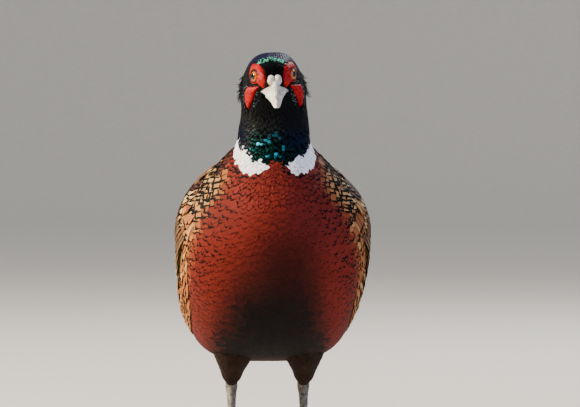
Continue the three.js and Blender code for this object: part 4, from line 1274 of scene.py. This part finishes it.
wingSettings = {
    # s runs from the tail to the bill along the body, turn is degrees from the back
    "turns": {"root": (47.0, 101.0), "tip": (41.0, 98.0), "skew": 0.11},
    "handTurns": {"root": (62, 94), "tip": (56, 91), "skew": 0.05},
    "tiers": [
        # name, count, s of the first and last root and tip, mm over the body at the root and beyond,
        # half width in mm, vane shape
        ("hand", 9, (3.3, 3.2), (0.8, 1.5), (0.8, 1.0), 6.5, "flight"),
        ("secondary", 16, (4.8, 4.6), (2.2, 1.75), (1.2, 3.0), 8.2, "flight"),
        ("greater", 17, (5.6, 5.4), (3.95, 3.7), (1.6, 3.6), 7.8, "flight"),
        ("median", 19, (6.0, 5.8), (4.8, 4.6), (1.8, 4.0), 6.8, "broad"),
        ("lesser", 21, (6.4, 6.2), (5.35, 5.2), (1.8, 4.3), 6.0, "broad"),
        ("lesser", 22, (6.75, 6.6), (5.8, 5.65), (1.6, 4.5), 5.8, "broad"),
        ("marginal", 23, (7.05, 6.9), (6.2, 6.1), (1.2, 4.5), 5.5, "broad"),
        ("marginal", 23, (7.3, 7.15), (6.6, 6.5), (0.5, 4.2), 5.3, "broad"),
    ],
    # base colour and how strongly a tier is barred
    "tones": {"hand": ("#4c3f33", 0.85), "secondary": ("#6e573f", 0.95), "greater": ("#6d6054", 0.7),
              "median": ("#6b6f72", 0.2), "lesser": ("#6d757b", 0.12), "marginal": ("#7d634a", 0.6)},
    "warm": "#6b4630", "arm": "#3a3027",
}


def barredMaterial(name, spacing, barWidth, barColour, edgeColour, edge):
    # flight feather: bars across the vane every spacing mm, ragged by its barbs, with a pale shaft
    material, tree = newMaterial(name)
    base = addNode(tree, "Attribute", {"attribute_name": "Base"})
    sizes = addNode(tree, "Attribute", {"attribute_name": "Size"}).outputs["Vector"]
    # length in mm, strength of the bars, phase
    size = addNode(tree, "SeparateXYZ", {"Vector": sizes}).outputs
    aside, along = vaneAxes(tree)[1:]
    down = addNode(tree, "Math", {"operation": "MULTIPLY", 0: along, 1: size["X"]})
    slant = addNode(tree, "Math", {"operation": "MULTIPLY_ADD", 0: aside, 1: -4.0, 2: down})
    where = addNode(tree, "TexCoord", {}).outputs["Object"]
    noise = addNode(tree, "TexNoise", {"Vector": where, "Scale": 420.0, "Detail": 3.0})
    wander = addNode(tree, "Math", {"operation": "MULTIPLY_ADD", 0: noise, 1: spacing * 0.35, 2: slant})
    turned = addNode(tree, "Math", {"operation": "ADD", 0: wander, 1: size["Z"]})
    cycle = addNode(tree, "Math", {"operation": "MULTIPLY", 0: turned, 1: 2 * math.pi / spacing})
    wave = addNode(tree, "Math", {"operation": "SINE", 0: cycle})
    bar = addNode(tree, "MapRange", {
        "Value": wave, "From Min": 1 - barWidth, "From Max": 1 - barWidth * 0.55})
    held = addNode(tree, "Math", {"operation": "MULTIPLY", 0: bar, 1: size["Y"]})
    barred = addNode(tree, "MixRGB", {"Fac": held, "Color1": base, "Color2": toLinear(barColour)})
    rim = addNode(tree, "MapRange", {"Value": aside, "From Min": edge, "From Max": 0.98, "To Max": 0.6})
    edged = addNode(tree, "MixRGB", {"Fac": rim, "Color1": barred, "Color2": toLinear(edgeColour)})
    # barbs 1.2 mm apart, coarser than life to show
    barbs = addNode(tree, "Math", {"operation": "MULTIPLY", 0: slant, 1: 5.2})
    barbWave = addNode(tree, "Math", {"operation": "SINE", 0: barbs})
    shade = addNode(tree, "MapRange", {
        "Value": barbWave, "From Min": -1.0, "From Max": 1.0, "To Min": 0.93, "To Max": 1.03})
    toned = addNode(tree, "VectorMath", {"operation": "SCALE", 0: edged, "Scale": shade})
    shaft = addNode(tree, "MapRange", {
        "Value": aside, "From Min": 0.035, "From Max": 0.06, "To Min": 1.0, "To Max": 0.0})
    shafted = addNode(tree, "MixRGB", {"Fac": shaft, "Color1": toned, "Color2": toLinear("#8a6f4a")})
    bump = addNode(tree, "Bump", {"Height": barbWave, "Strength": 0.15, "Distance": 0.0002})
    shader = addNode(tree, "BsdfPrincipled", {
        "Base Color": shafted, "Normal": bump, "IOR": 1.54, "Roughness": 0.6, "Specular IOR Level": 0.25})
    addNode(tree, "OutputMaterial", {"Surface": shader})
    return material


wingFeather = barredMaterial("wingFeather", 8.0, 0.85, "#2b1e14", "#9a7f58", 0.86)
tailVane = barredMaterial("tailFeather", 19.0, 0.42, "#120c09", "#6f3f3a", 0.45)


def besideWing(angle, s0):
    # the feathers' place on the unwrapped skin
    return np.stack([0.5 + 0.45 * angle[:, 0] / np.pi, s0 / 20 + 0.02], -1)


def wingRays(tier, side, turns):
    _, count, roots, tips, heights, _, shape = tier
    t = vanes[shape]["places"]
    u = np.linspace(0, 1, count) + rng.normal(0, 0.12 / count, count)
    s0 = between(roots, u)
    s1 = between(tips, u) + rng.normal(0, 0.03 if shape == "flight" else 0.07, count)
    a0 = between(turns["root"], u)
    a1 = between(turns["tip"], u) + rng.normal(0, 0.25, count)
    s = s0[:, None] + (s1 - s0)[:, None] * t
    angle = np.radians(a0[:, None] + (a1 - a0)[:, None] * t) * side
    height = between(heights, np.clip(t / 0.35, 0, 1)[None, :])
    height = height + 0.02 * np.arange(count)[:, None] + rng.normal(0, 0.06, (count, 1)) * t
    paths, normals = overBody(s, angle, height)
    length = np.linalg.norm(np.diff(bodyPoint(s, angle), axis=1), axis=2).sum(axis=1)
    return paths, normals, length, besideWing(angle, s0), turns["skew"] * side + rng.normal(0, 0.02, count)


def wingLooks(tone, warmTone, n, length):
    colour, barred = tone
    base = varied(rgb(colour), n, 0.10, 0.75, 1.25)
    warm = (rng.uniform(0, 1, (n, 1)) < 0.22) * rng.uniform(0.3, 0.8, (n, 1))
    base = base * (1 - warm) + rgb(warmTone) * warm
    size = np.stack([length, np.full(n, barred) * rng.uniform(0.7, 1, n), rng.uniform(0, 3, n)], -1)
    return {"Base": withAlpha(base.clip(0, 1), rng.uniform(0, 1, (n, 1))), "Size": size}


# Long feathers that lie over the edges of the wing: cream, black bordered scapulars above it and
# golden flank feathers below

plumeSettings = {
    # s is from and to of the roots, turns one for each row, each the feathers in a row, length and half
    # width in mm; high is mm over the body at the tips of the first row, rise what each further row adds,
    # and droop the degrees by which the front ones move towards the back
    "scapular": {
        "shape": "broad", "s": (7.7, 4.7), "turns": (29, 35, 41, 47, 52), "each": 17, "length": (24, 36),
        "half": 5.2, "high": 4.2, "rise": 0.25, "lean": 2.0, "droop": 0,
        "base": ("#b18b5c", "#936940", "#c9b68e", "#7b4a32"), "tip": ("#2a120e", "#451c1c", "#150c0a"),
        "mark": (0.84, 0.30, 0.0)},
    "flank": {
        "shape": "round", "s": (7.8, 3.6), "turns": (117, 113, 109, 105, 101, 97), "each": 27,
        "length": (14, 23), "half": 3.8, "high": 1.2, "rise": 0.68, "lean": -1.0, "droop": 9,
        "base": ("#a97147", "#985f3d", "#bb9462"), "tip": ("#0e0908", "#150c0a"), "mark": (0.74, -0.04, 0.0)},
}
sideStep = 31.0  # mm of body to each unit of s along the side


def makePlumes(name, settings, side, label):
    vane = vanes[settings["shape"]]
    t = vane["places"]
    s0, turn, rank = [], [], []
    for k, value in enumerate(settings["turns"]):
        first, last = settings["s"]
        along = np.linspace(first, last, settings["each"]) + (k % 2) * 0.5 * (last - first) / settings["each"]
        s0 += list(along + rng.normal(0, 0.03, len(along)))
        turn += list(value + rng.normal(0, 1.0, len(along)))
        rank += [k] * len(along)
    s0, turn, rank = np.array(s0), np.array(turn), np.array(rank)
    turn = turn - settings["droop"] * fade(s0, 5.6, 7.6)
    n = len(s0)
    length = rng.uniform(*settings["length"], n) * (0.75 + 0.25 * fade(s0, 8.0, 6.5))
    s = s0[:, None] - length[:, None] / sideStep * t
    angle = np.radians(turn[:, None] + settings["lean"] * t) * side
    high = (settings["high"] + settings["rise"] * rank[:, None]) * (1 - 0.65 * fade(s0, 6.2, 7.4)[:, None])
    height = -1.2 + (high + 1.2) * np.clip(t / 0.5, 0, 1) * fade(s, 2.2, 4.0)
    height = height + 0.01 * np.arange(n)[:, None]
    paths, normals = overBody(s, angle, height)
    pick = rng.integers(0, len(settings["base"]), n)
    base = varied(np.array([rgb(value) for value in settings["base"]])[pick], n, 0.08)
    tip = np.array([rgb(value) for value in settings["tip"]])[pick % len(settings["tip"])]
    base = withAlpha(base.clip(0, 1), rng.uniform(0, 1, (n, 1)))
    half = settings["half"] * rng.uniform(0.85, 1.1, n)
    placeVanes("_".join([name, "plumes", label]), vane, paths, normals, half,
               markedLooks(base, withAlpha(tip), settings["mark"]), besideWing(angle, s0), bodyFeather,
               "plume", rng.normal(0, 0.03, n))
    return n


def addSkinTone(piece, colour, shade=1.0):
    tone = np.tile([*rgb(colour) * shade, 1.0], (len(piece.data.vertices), 1))
    addAttribute(piece.data, "Base", "FLOAT_COLOR", tone)


def makeWing(settings, side, label):
    # the arm under the coverts
    def layArm(points):
        share = np.hypot(points[:, 0], points[:, 1])
        s = wingBed["middle"][0] + (wingBed["reach"][0] - 0.1) * points[:, 0]
        angle = np.radians(wingBed["middle"][1] + (wingBed["reach"][1] - 2) * points[:, 1]) * side
        height = np.where(points[:, 2] > 0, 3.0 * np.sqrt(np.clip(1 - share ** 4, 0, 1)) - 0.5, -2.0)
        return fromBird(overBody(s, angle, height)[0])

    arm = ballPiece("wing_arm_" + label, 40, 20, layArm, downAndSkin, ("wing_" + label,))
    addSkinTone(arm, settings["arm"])
    total = 0
    for number, tier in enumerate(settings["tiers"]):
        name, count, *_, half, shape = tier
        turns = settings["handTurns" if name == "hand" else "turns"]
        paths, normals, length, roots, skew = wingRays(tier, side, turns)
        looks = wingLooks(settings["tones"][name], settings["warm"], count, length)
        placeVanes("_".join(["wing", name, str(number), label]), vanes[shape], paths, normals,
                   np.full(count, half), looks, roots, wingFeather, "wing", skew)
        total += count
    for name, plumes in plumeSettings.items():
        total += makePlumes(name, plumes, side, label)
    print("wing", label, total, "feathers")


for side, label in sides:
    makeWing(wingSettings, side, label)


# Tail: eighteen long feathers as a low roof, with soft coverts round their roots

tailSettings = {
    "root": 205.0, "tip": 615.0, "pairs": 8, "pitch": 0.25, "step": 1.05, "ridge": 5.0, "width": 28.0,
    # the middle pair: mm shorter than the tail, half width, mm over the line of the tail, mm aside
    "middle": [(3, 14.3, 7.6, -1.8), (9, 14.3, 5.7, 1.8)],
    "colour": "#7f6849", "bars": 0.95,
    # [y, half width, half height] of the form under the coverts
    "wrap": [[168, 33, 31], [196, 25.5, 21.5], [224, 24.5, 15.5], [252, 26, 12], [280, 28, 10.8],
             [308, 30, 10]],
    # rings of coverts: y of the roots, count, mm long
    "rings": [(171, 44, 26), (178, 42, 29), (185, 40, 33), (192, 38, 38), (199, 36, 43), (207, 36, 48),
              (215, 34, 53), (224, 32, 58), (234, 28, 60)],
    "covert": {"top": "#6a6f5c", "side": "#744233", "under": "#17110e", "topTip": "#452a1f",
               "underTip": "#120d0b", "half": 4.6, "mark": [0.84, 0.06, 0.0]},
}


def tailLine(y):
    share = (y - tailSettings["root"]) / (tailSettings["tip"] - tailSettings["root"])
    return 157 + 12 * share - 3 * share ** 2


def onWrap(y, angle, height):
    rows = np.array(tailSettings["wrap"], float)
    share = (y - rows[0, 0]) / (rows[-1, 0] - rows[0, 0]) * (len(rows) - 1)
    wide, deep = (np.interp(share, range(len(rows)), rows[:, k]) for k in (1, 2))
    normal = unit(np.stack([np.sin(angle) / wide, 0 * y, np.cos(angle) / deep], -1))
    point = np.stack([wide * np.sin(angle), y, tailLine(y) + deep * np.cos(angle)], -1)
    return point + normal * height[..., None], normal


def makeTail(settings):
    vane = vanes["long"]
    t = vane["places"]
    profile = np.array([row[1] for row in vaneShapes["long"]["rows"]])
    full = settings["tip"] - settings["root"]
    # [length, half width, height, centre line, drop, tilt] of each feather, the middle pair first
    entries = [(full - short, half, height, np.full(len(t), x), 0.0, 0.0)
               for short, half, height, x in settings["middle"]]
    for rank in range(1, settings["pairs"] + 1):
        length = full * (0.2 + 0.8 * (1 - rank / 8.5) ** 1.6) - 2
        half = (settings["width"] - 0.8 * rank) / 2
        for side in (-1, 1):
            centre = side * (0.5 + half * profile) + 1.2 * rank * side * t
            entries.append((length, half, settings["ridge"] - settings["step"] * rank, centre,
                            -settings["pitch"] * half * profile, -settings["pitch"] * side))
    n = len(entries)
    paths = []
    for length, _, height, centre, drop, _ in entries:
        y = settings["root"] + length * t
        paths.append(np.stack([centre, y, tailLine(y) + height + drop], -1))
    lengths, halves, skews = ([entry[k] for entry in entries] for k in (0, 1, 5))
    base = varied(rgb(settings["colour"]), n, 0.06)
    size = np.stack([lengths, np.full(n, settings["bars"]), rng.uniform(-1, 1, n)], -1)
    roots = np.stack([0.5 + 0.01 * np.arange(n), np.full(n, 0.015)], -1)
    long = placeVanes("tail_feathers", vane, np.array(paths), np.tile([0, 0, 1.0], (n, len(t), 1)), halves,
                      {"Base": withAlpha(base), "Size": size}, roots, tailVane, "tail", skews)
    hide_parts("tail")

    # coverts in rings round the base, the upper ones long and loose
    covert = settings["covert"]
    places = vanes["round"]["places"]
    coverts = []
    for index, (start, count, length) in enumerate(settings["rings"]):
        for k in range(count):
            angle = (k + 0.5 * (index % 2)) / count * 2 * np.pi
            reach = length * (1.0 if np.cos(angle) > -0.2 else 0.8) * (1 + rng.normal(0, 0.08))
            high = 1.5 - 0.22 * index + rng.normal(0, 0.12)
            sunk = 2.0 + 5.0 * math.exp(-index / 1.2)
            height = -sunk + (high + sunk) * np.clip(places / 0.6, 0, 1) ** 0.8
            path, normal = onWrap(start + reach * places, np.full(len(places), angle), height)
            coverts.append((path, normal, covert["half"] + rng.normal(0, 0.4), angle))
    paths, normals, halves, angles = (np.array(values) for values in zip(*coverts))
    count = len(coverts)
    upper = fade(np.cos(angles), -0.35, 0.1)
    mixed = fade(np.abs(np.sin(angles)) + 0.15 * rng.normal(0, 1, count), 0.45, 0.85)
    top = blend(rgb(covert["top"]), rgb(covert["side"]), mixed)
    tone = varied(blend(rgb(covert["under"]), top, upper), count, 0.12, 0.7, 1.3)
    tipTone = blend(rgb(covert["underTip"]), rgb(covert["topTip"]), upper)
    roots = np.stack([0.05 + 0.9 * angles / (2 * np.pi), np.full(count, 0.03)], -1)
    placeVanes("tail_coverts", vanes["round"], paths, normals, halves,
               markedLooks(withAlpha(tone), withAlpha(tipTone), covert["mark"]), roots, bodyFeather,
               "covert")
    print("tail:", n, "long feathers,", count, "coverts")


makeTail(tailSettings)


# Legs: feathered thighs, scaled shanks and toes, claws and spurs

legSettings = {
    # rows are [x, y, z, half width, half depth] of a left leg in mm
    "thigh": [[30, 18, 142, 26, 24], [31, 26, 112, 20, 20], [32, 38, 92, 11, 12], [32, 49, 77.5, 6.0, 6.6]],
    "shank": [[32, 46.6, 81, 5, 5.6], [32, 50, 75, 5.4, 6.2], [32, 47, 64, 3.9, 4.6], [32, 41, 42, 3.5, 4.2],
              [32, 34, 20, 3.8, 4.5], [32, 30.5, 8.6, 5, 5]],
    "spur": [[30, 39, 29, 2.9, 3.1], [27.6, 43, 30, 2.2, 2.3], [24.6, 48.4, 32.4, 0.5, 0.5]],
    "toeRoot": (32.0, 29.0), "pad": (6.2, 6.4, 6.4),
    # heading in degrees from straight ahead, mm long, mm thick
    "toes": {"middle": (4, 44, 4.2), "inner": (-36, 31, 3.8), "outer": (40, 34, 3.8),
             "hind": (172, 15, 3.2)},
    "claw": 9.5, "clawThick": 2.1, "clawTip": 0.5, "sole": 0.88, "taper": 0.72,
    # core is the skin's share of the thigh's width; reach is a feather's share of the thigh's length
    "thighFeather": {"core": 0.84, "rows": 17, "reach": 0.24, "half": 3.6, "mark": [0.75, 0.1, 0.0]},
}


def onTube(rows, along, turn, grow, sideAxis=(1, 0, 0)):
    # a point round a path of [x, y, z, across, deep] rows, along 0 to 1, its normal and the path's point
    last = len(rows) - 1
    at = np.clip(along, 0, 1) * last
    here = smoothRead(rows, at)
    across, deep = here[..., 3], here[..., 4]
    before, after = (smoothRead(rows, np.clip(at + step, 0, last))[..., :3] for step in (-0.05, 0.05))
    ahead = unit(after - before)
    out = np.broadcast_to(np.array(sideAxis, float), ahead.shape)
    out = unit(out - ahead * np.sum(out * ahead, -1, keepdims=True))
    up = np.cross(ahead, out)
    ring = out * (across * np.cos(turn))[..., None] + up * (deep * np.sin(turn))[..., None]
    normal = unit(out * np.cos(turn)[..., None] + up * np.sin(turn)[..., None])
    return here[..., :3] + ring + normal * grow[..., None], normal, here[..., :3]


def scaleMaterial():
    # horny leg scales, grey, with paler worn plates
    material, tree = newMaterial("legScales")
    where = addNode(tree, "TexCoord", {}).outputs["Object"]
    # small plates of 2.2 mm
    cells = addNode(tree, "TexVoronoi", {"feature": "DISTANCE_TO_EDGE", "Vector": where, "Scale": 1 / 0.0022})
    patches = addNode(tree, "TexNoise", {"Vector": where, "Scale": 300.0, "Detail": 4.0})
    tone = addNode(tree, "ValToRGB", {
        "Fac": patches, "stops": [(0.3, "#56524a"), (0.55, "#857f72"), (0.75, "#a39b89")]})
    seams = addNode(tree, "MapRange", {
        "Value": cells.outputs["Distance"], "From Min": 0.0, "From Max": 0.12, "To Min": 0.45, "To Max": 1.0})
    shaded = addNode(tree, "VectorMath", {"operation": "SCALE", 0: tone, "Scale": seams})
    bump = addNode(tree, "Bump", {"Height": seams, "Strength": 0.5, "Distance": 0.0004})
    shader = addNode(tree, "BsdfPrincipled", {
        "Base Color": shaded, "Normal": bump, "Roughness": 0.5, "IOR": 1.54})
    addNode(tree, "OutputMaterial", {"Surface": shader})
    return material


def clawMaterial():
    # dark horn, polished by wear along the tip
    material, tree = newMaterial("clawHorn")
    where = addNode(tree, "TexCoord", {}).outputs["Object"]
    stretched = addNode(tree, "Mapping", {"Vector": where, "Scale": (900.0, 200.0, 900.0)})
    grain = addNode(tree, "TexNoise", {"Vector": stretched, "Scale": 1.0, "Detail": 4.0})
    tone = addNode(tree, "ValToRGB", {"Fac": grain, "stops": [(0.35, "#241f1b"), (0.7, "#5c5145")]})
    bump = addNode(tree, "Bump", {"Height": grain, "Strength": 0.2, "Distance": 0.0002})
    shader = addNode(tree, "BsdfPrincipled", {
        "Base Color": tone, "Normal": bump, "Roughness": 0.35, "IOR": 1.54})
    addNode(tree, "OutputMaterial", {"Surface": shader})
    return material


scaleHorn = scaleMaterial()
clawHorn = clawMaterial()


def tubePiece(name, rows, segments, rings, side, material, replaces=(), sideAxis=(1, 0, 0), swell=None):
    def lay(points):
        turn, share = ballTurn(points)
        along = np.clip(share * 1.08 - 0.04, 0, 1)
        closing = np.sqrt(np.clip(np.minimum(share, 1 - share) / 0.08, 0, 1))
        grow = 0 * along if swell is None else swell(along, turn)
        surface, _, centre = onTube(rows, along, turn, grow, sideAxis)
        place = centre + (surface - centre) * closing[:, None]
        place[:, 2] = np.maximum(place[:, 2], 0.0)  # nothing goes under the ground
        return fromBird(mirrorSide(place, side))

    return ballPiece(name, segments, rings, lay, material, replaces)


def makeThigh(settings, side, label):
    # skin core, with soft brown feathers that run down to the hock
    feather = settings["thighFeather"]
    core = [[x, y, z, a * feather["core"], d * feather["core"]] for x, y, z, a, d in settings["thigh"]]
    thigh = tubePiece("thigh_skin_" + label, core, 40, 30, side, downAndSkin,
                      ("thigh_" + label,))
    # painted shade: the thigh feathers' colour at half brightness on the skin between them
    addSkinTone(thigh, coatColours["thigh"], 0.5)
    along, turn = [], []
    for i, a in enumerate(np.linspace(0.02, 0.86, feather["rows"])):
        around = int(round(np.interp(a, [0, 1], [36, 14])))
        along += [a] * around
        turn += [(k + 0.5 * (i % 2)) / around * 2 * np.pi for k in range(around)]
    n = len(along)
    along = np.array(along) + rng.normal(0, 0.006, n)
    turn = np.array(turn) + rng.normal(0, 0.05, n)
    t = vanes["round"]["places"][None, :]
    reach = np.clip(along[:, None] + feather["reach"] * t, 0, 1.0)
    height = -2.6 * (1 - t) + 0.4 * t - 2.5 * fade(reach, 0.8, 1.0)
    surface, normal = onTube(settings["thigh"], reach, turn[:, None] + 0 * t, height)[:2]
    tone = varied(rgb(coatColours["thigh"]), n, 0.18, 0.5, 1.5)
    roots = np.stack([0.1 + 0.8 * ((turn / (2 * np.pi)) % 1), 0.05 + 0.9 * along.clip(0, 1)], -1)
    looks = markedLooks(withAlpha(tone), withAlpha(tone * 1.4), feather["mark"])
    placeVanes("thigh_feathers_" + label, vanes["round"], mirrorSide(surface, side), mirrorSide(normal, side),
               np.full(n, feather["half"]), looks, roots, bodyFeather, "thigh")


def plates(along, turn):
    # wide plates down the front of the shank, small ones behind
    saw = (along * 13) % 1.0
    return 0.30 * fade(np.sin(turn), -0.4, 0.3) * (saw - 0.4) * fade(saw, 1.0, 0.9)


def makeToe(settings, name, side, label):
    heading, length, thick = settings["toes"][name]
    x0, y0 = settings["toeRoot"]
    turnTo = math.radians(heading)
    aheadX, aheadY = math.sin(turnTo), -math.cos(turnTo)
    across = (math.cos(turnTo), math.sin(turnTo), 0)
    rows, clawRows = [], []
    for k in (0, 0.35, 0.7, 1):
        radius = thick * (1 + (settings["taper"] - 1) * k)
        reach = length * k
        rows.append([x0 + aheadX * reach, y0 + aheadY * reach, radius * settings["sole"], radius, radius])
    for k in (0, 0.5, 1):
        reach = length - 0.8 + (settings["claw"] + 0.8) * k
        radius = between((settings["clawThick"], settings["clawTip"]), k)
        height = thick * settings["taper"] * settings["sole"] * (1 - k * k) + 0.7 * k * k
        clawRows.append([x0 + aheadX * reach, y0 + aheadY * reach, height, radius, radius])

    def pads(along, turn):
        # scutes above, soft pads all round
        saw = (along * length / 2.6) % 1.0
        return 0.22 * fade(np.sin(turn), -0.2, 0.5) * (saw - 0.5) + 0.25 * np.sin(along * length / 4.2) - 0.2

    end = name + "_" + label
    tubePiece("toe_" + end, rows, 28, 70, side, scaleHorn, sideAxis=across, swell=pads)
    tubePiece("claw_horn_" + end, clawRows, 24, 24, side, clawHorn, ("claw_" + end,), across)


def makeLegs(settings):
    for side, label in sides:
        makeThigh(settings, side, label)
        tubePiece("shank_scales_" + label, settings["shank"], 40, 130, side, scaleHorn,
                  ("shank_" + label,), swell=plates)

        def knuckle(points):
            place = points * np.array(settings["pad"]) + np.array([*settings["toeRoot"], 6.0])
            place[:, 2] = np.clip(place[:, 2], 0.0, 10.0)
            return fromBird(mirrorSide(place, side))

        ballPiece("foot_pad_" + label, 32, 20, knuckle, scaleHorn, ("foot_" + label,))
        for name in settings["toes"]:
            makeToe(settings, name, side, label)
        tubePiece("spur_horn_" + label, settings["spur"], 24, 24, side, clawHorn,
                  ("spur_" + label,))
    print("legs made")


makeLegs(legSettings)


# Studio: a pale floor that sweeps up behind, a warm key from the upper left, a cool fill

studioSettings = {
    "floor": "#dcd8d0", "floorDark": "#d8d4cc", "flat": 9.0, "curve": 5.0, "sides": 96,
    "lights": {
        "key": {"place": (-4.2, -0.95, 2.4), "size": 0.8, "power": 410, "colour": "#fff1dc"},
        "fill": {"place": (3.0, -2.6, 1.6), "size": 2.4, "power": 56, "colour": "#9fb6ff"},
        "rim": {"place": (1.6, 2.4, 2.6), "size": 1.6, "power": 60, "colour": "#ffffff"},
    },
    # the sky's strength away from and towards the direction it comes from
    "sky": {"colour": "#e6e9f0", "strength": (0.07, 0.75), "from": (-0.75, -0.2, 0.6)},
    "aimHeight": 0.22,  # m, where the lamps point
}


def makeBackdrop(settings):
    # a round floor of matt paper that curves up all round, far behind wherever the camera stands
    material, tree = newMaterial("paperSweep")
    where = addNode(tree, "TexCoord", {}).outputs["Object"]
    grain = addNode(tree, "TexNoise", {"Vector": where, "Scale": 60.0, "Detail": 3.0})
    tone = addNode(tree, "ValToRGB", {
        "Fac": grain, "stops": [(0.3, settings["floorDark"]), (0.7, settings["floor"])]})
    shader = addNode(tree, "BsdfPrincipled", {"Base Color": tone, "Roughness": 0.9, "IOR": 1.45})
    addNode(tree, "OutputMaterial", {"Surface": shader})
    flat, curve, count = (settings[key] for key in ("flat", "curve", "sides"))
    profile = [(0.02, 0.0), (3.0, 0.0), (flat, 0.0)]
    for k in range(1, 15):
        turn = k / 14 * math.pi / 2
        profile.append((flat + curve * math.sin(turn), curve * (1 - math.cos(turn))))
    turns = [2 * math.pi * j / count for j in range(count)]
    points = [(r * math.cos(turn), r * math.sin(turn), z) for r, z in profile for turn in turns]
    faces = [tuple(range(count))]
    for start in range(0, (len(profile) - 1) * count, count):
        for j in range(count):
            after = (j + 1) % count
            faces.append((start + count + j, start + count + after, start + after, start + j))
    mesh = bpy.data.meshes.new("backdrop")
    mesh.from_pydata(points, [], faces)
    mesh.materials.append(material)
    mesh.polygons.foreach_set("use_smooth", np.full(len(mesh.polygons), True))
    addObject("backdrop", mesh)


def makeStudio(settings):
    makeBackdrop(settings)
    target = Vector((0, standY * mm, settings["aimHeight"]))
    for name, spec in settings["lights"].items():
        data = bpy.data.lights.new(name, "AREA")
        data.shape = "DISK"
        data.size = spec["size"]
        data.energy = spec["power"]
        data.color = toLinear(spec["colour"])[:3]
        lamp = addObject(name, data)
        lamp.location = spec["place"]
        lamp.rotation_euler = (target - lamp.location).to_track_quat("-Z", "Y").to_euler()
    world = bpy.data.worlds.new("studio")
    world.use_nodes = True
    tree = world.node_tree
    background = tree.nodes["Background"]
    sky = settings["sky"]
    direction = addNode(tree, "TexCoord", {}).outputs["Generated"]
    towards = addNode(tree, "VectorMath", {"operation": "DOT_PRODUCT", 0: direction, 1: sky["from"]})
    strength = addNode(tree, "MapRange", {
        "Value": towards.outputs["Value"], "From Min": -0.8, "From Max": 0.9,
        "To Min": sky["strength"][0], "To Max": sky["strength"][1]})
    tree.links.new(strength.outputs[0], background.inputs["Strength"])
    background.inputs["Color"].default_value = toLinear(sky["colour"])
    bpy.context.scene.world = world
    bpy.context.scene.view_settings.look = "AgX - Medium High Contrast"


makeStudio(studioSettings)

print("studio ready")
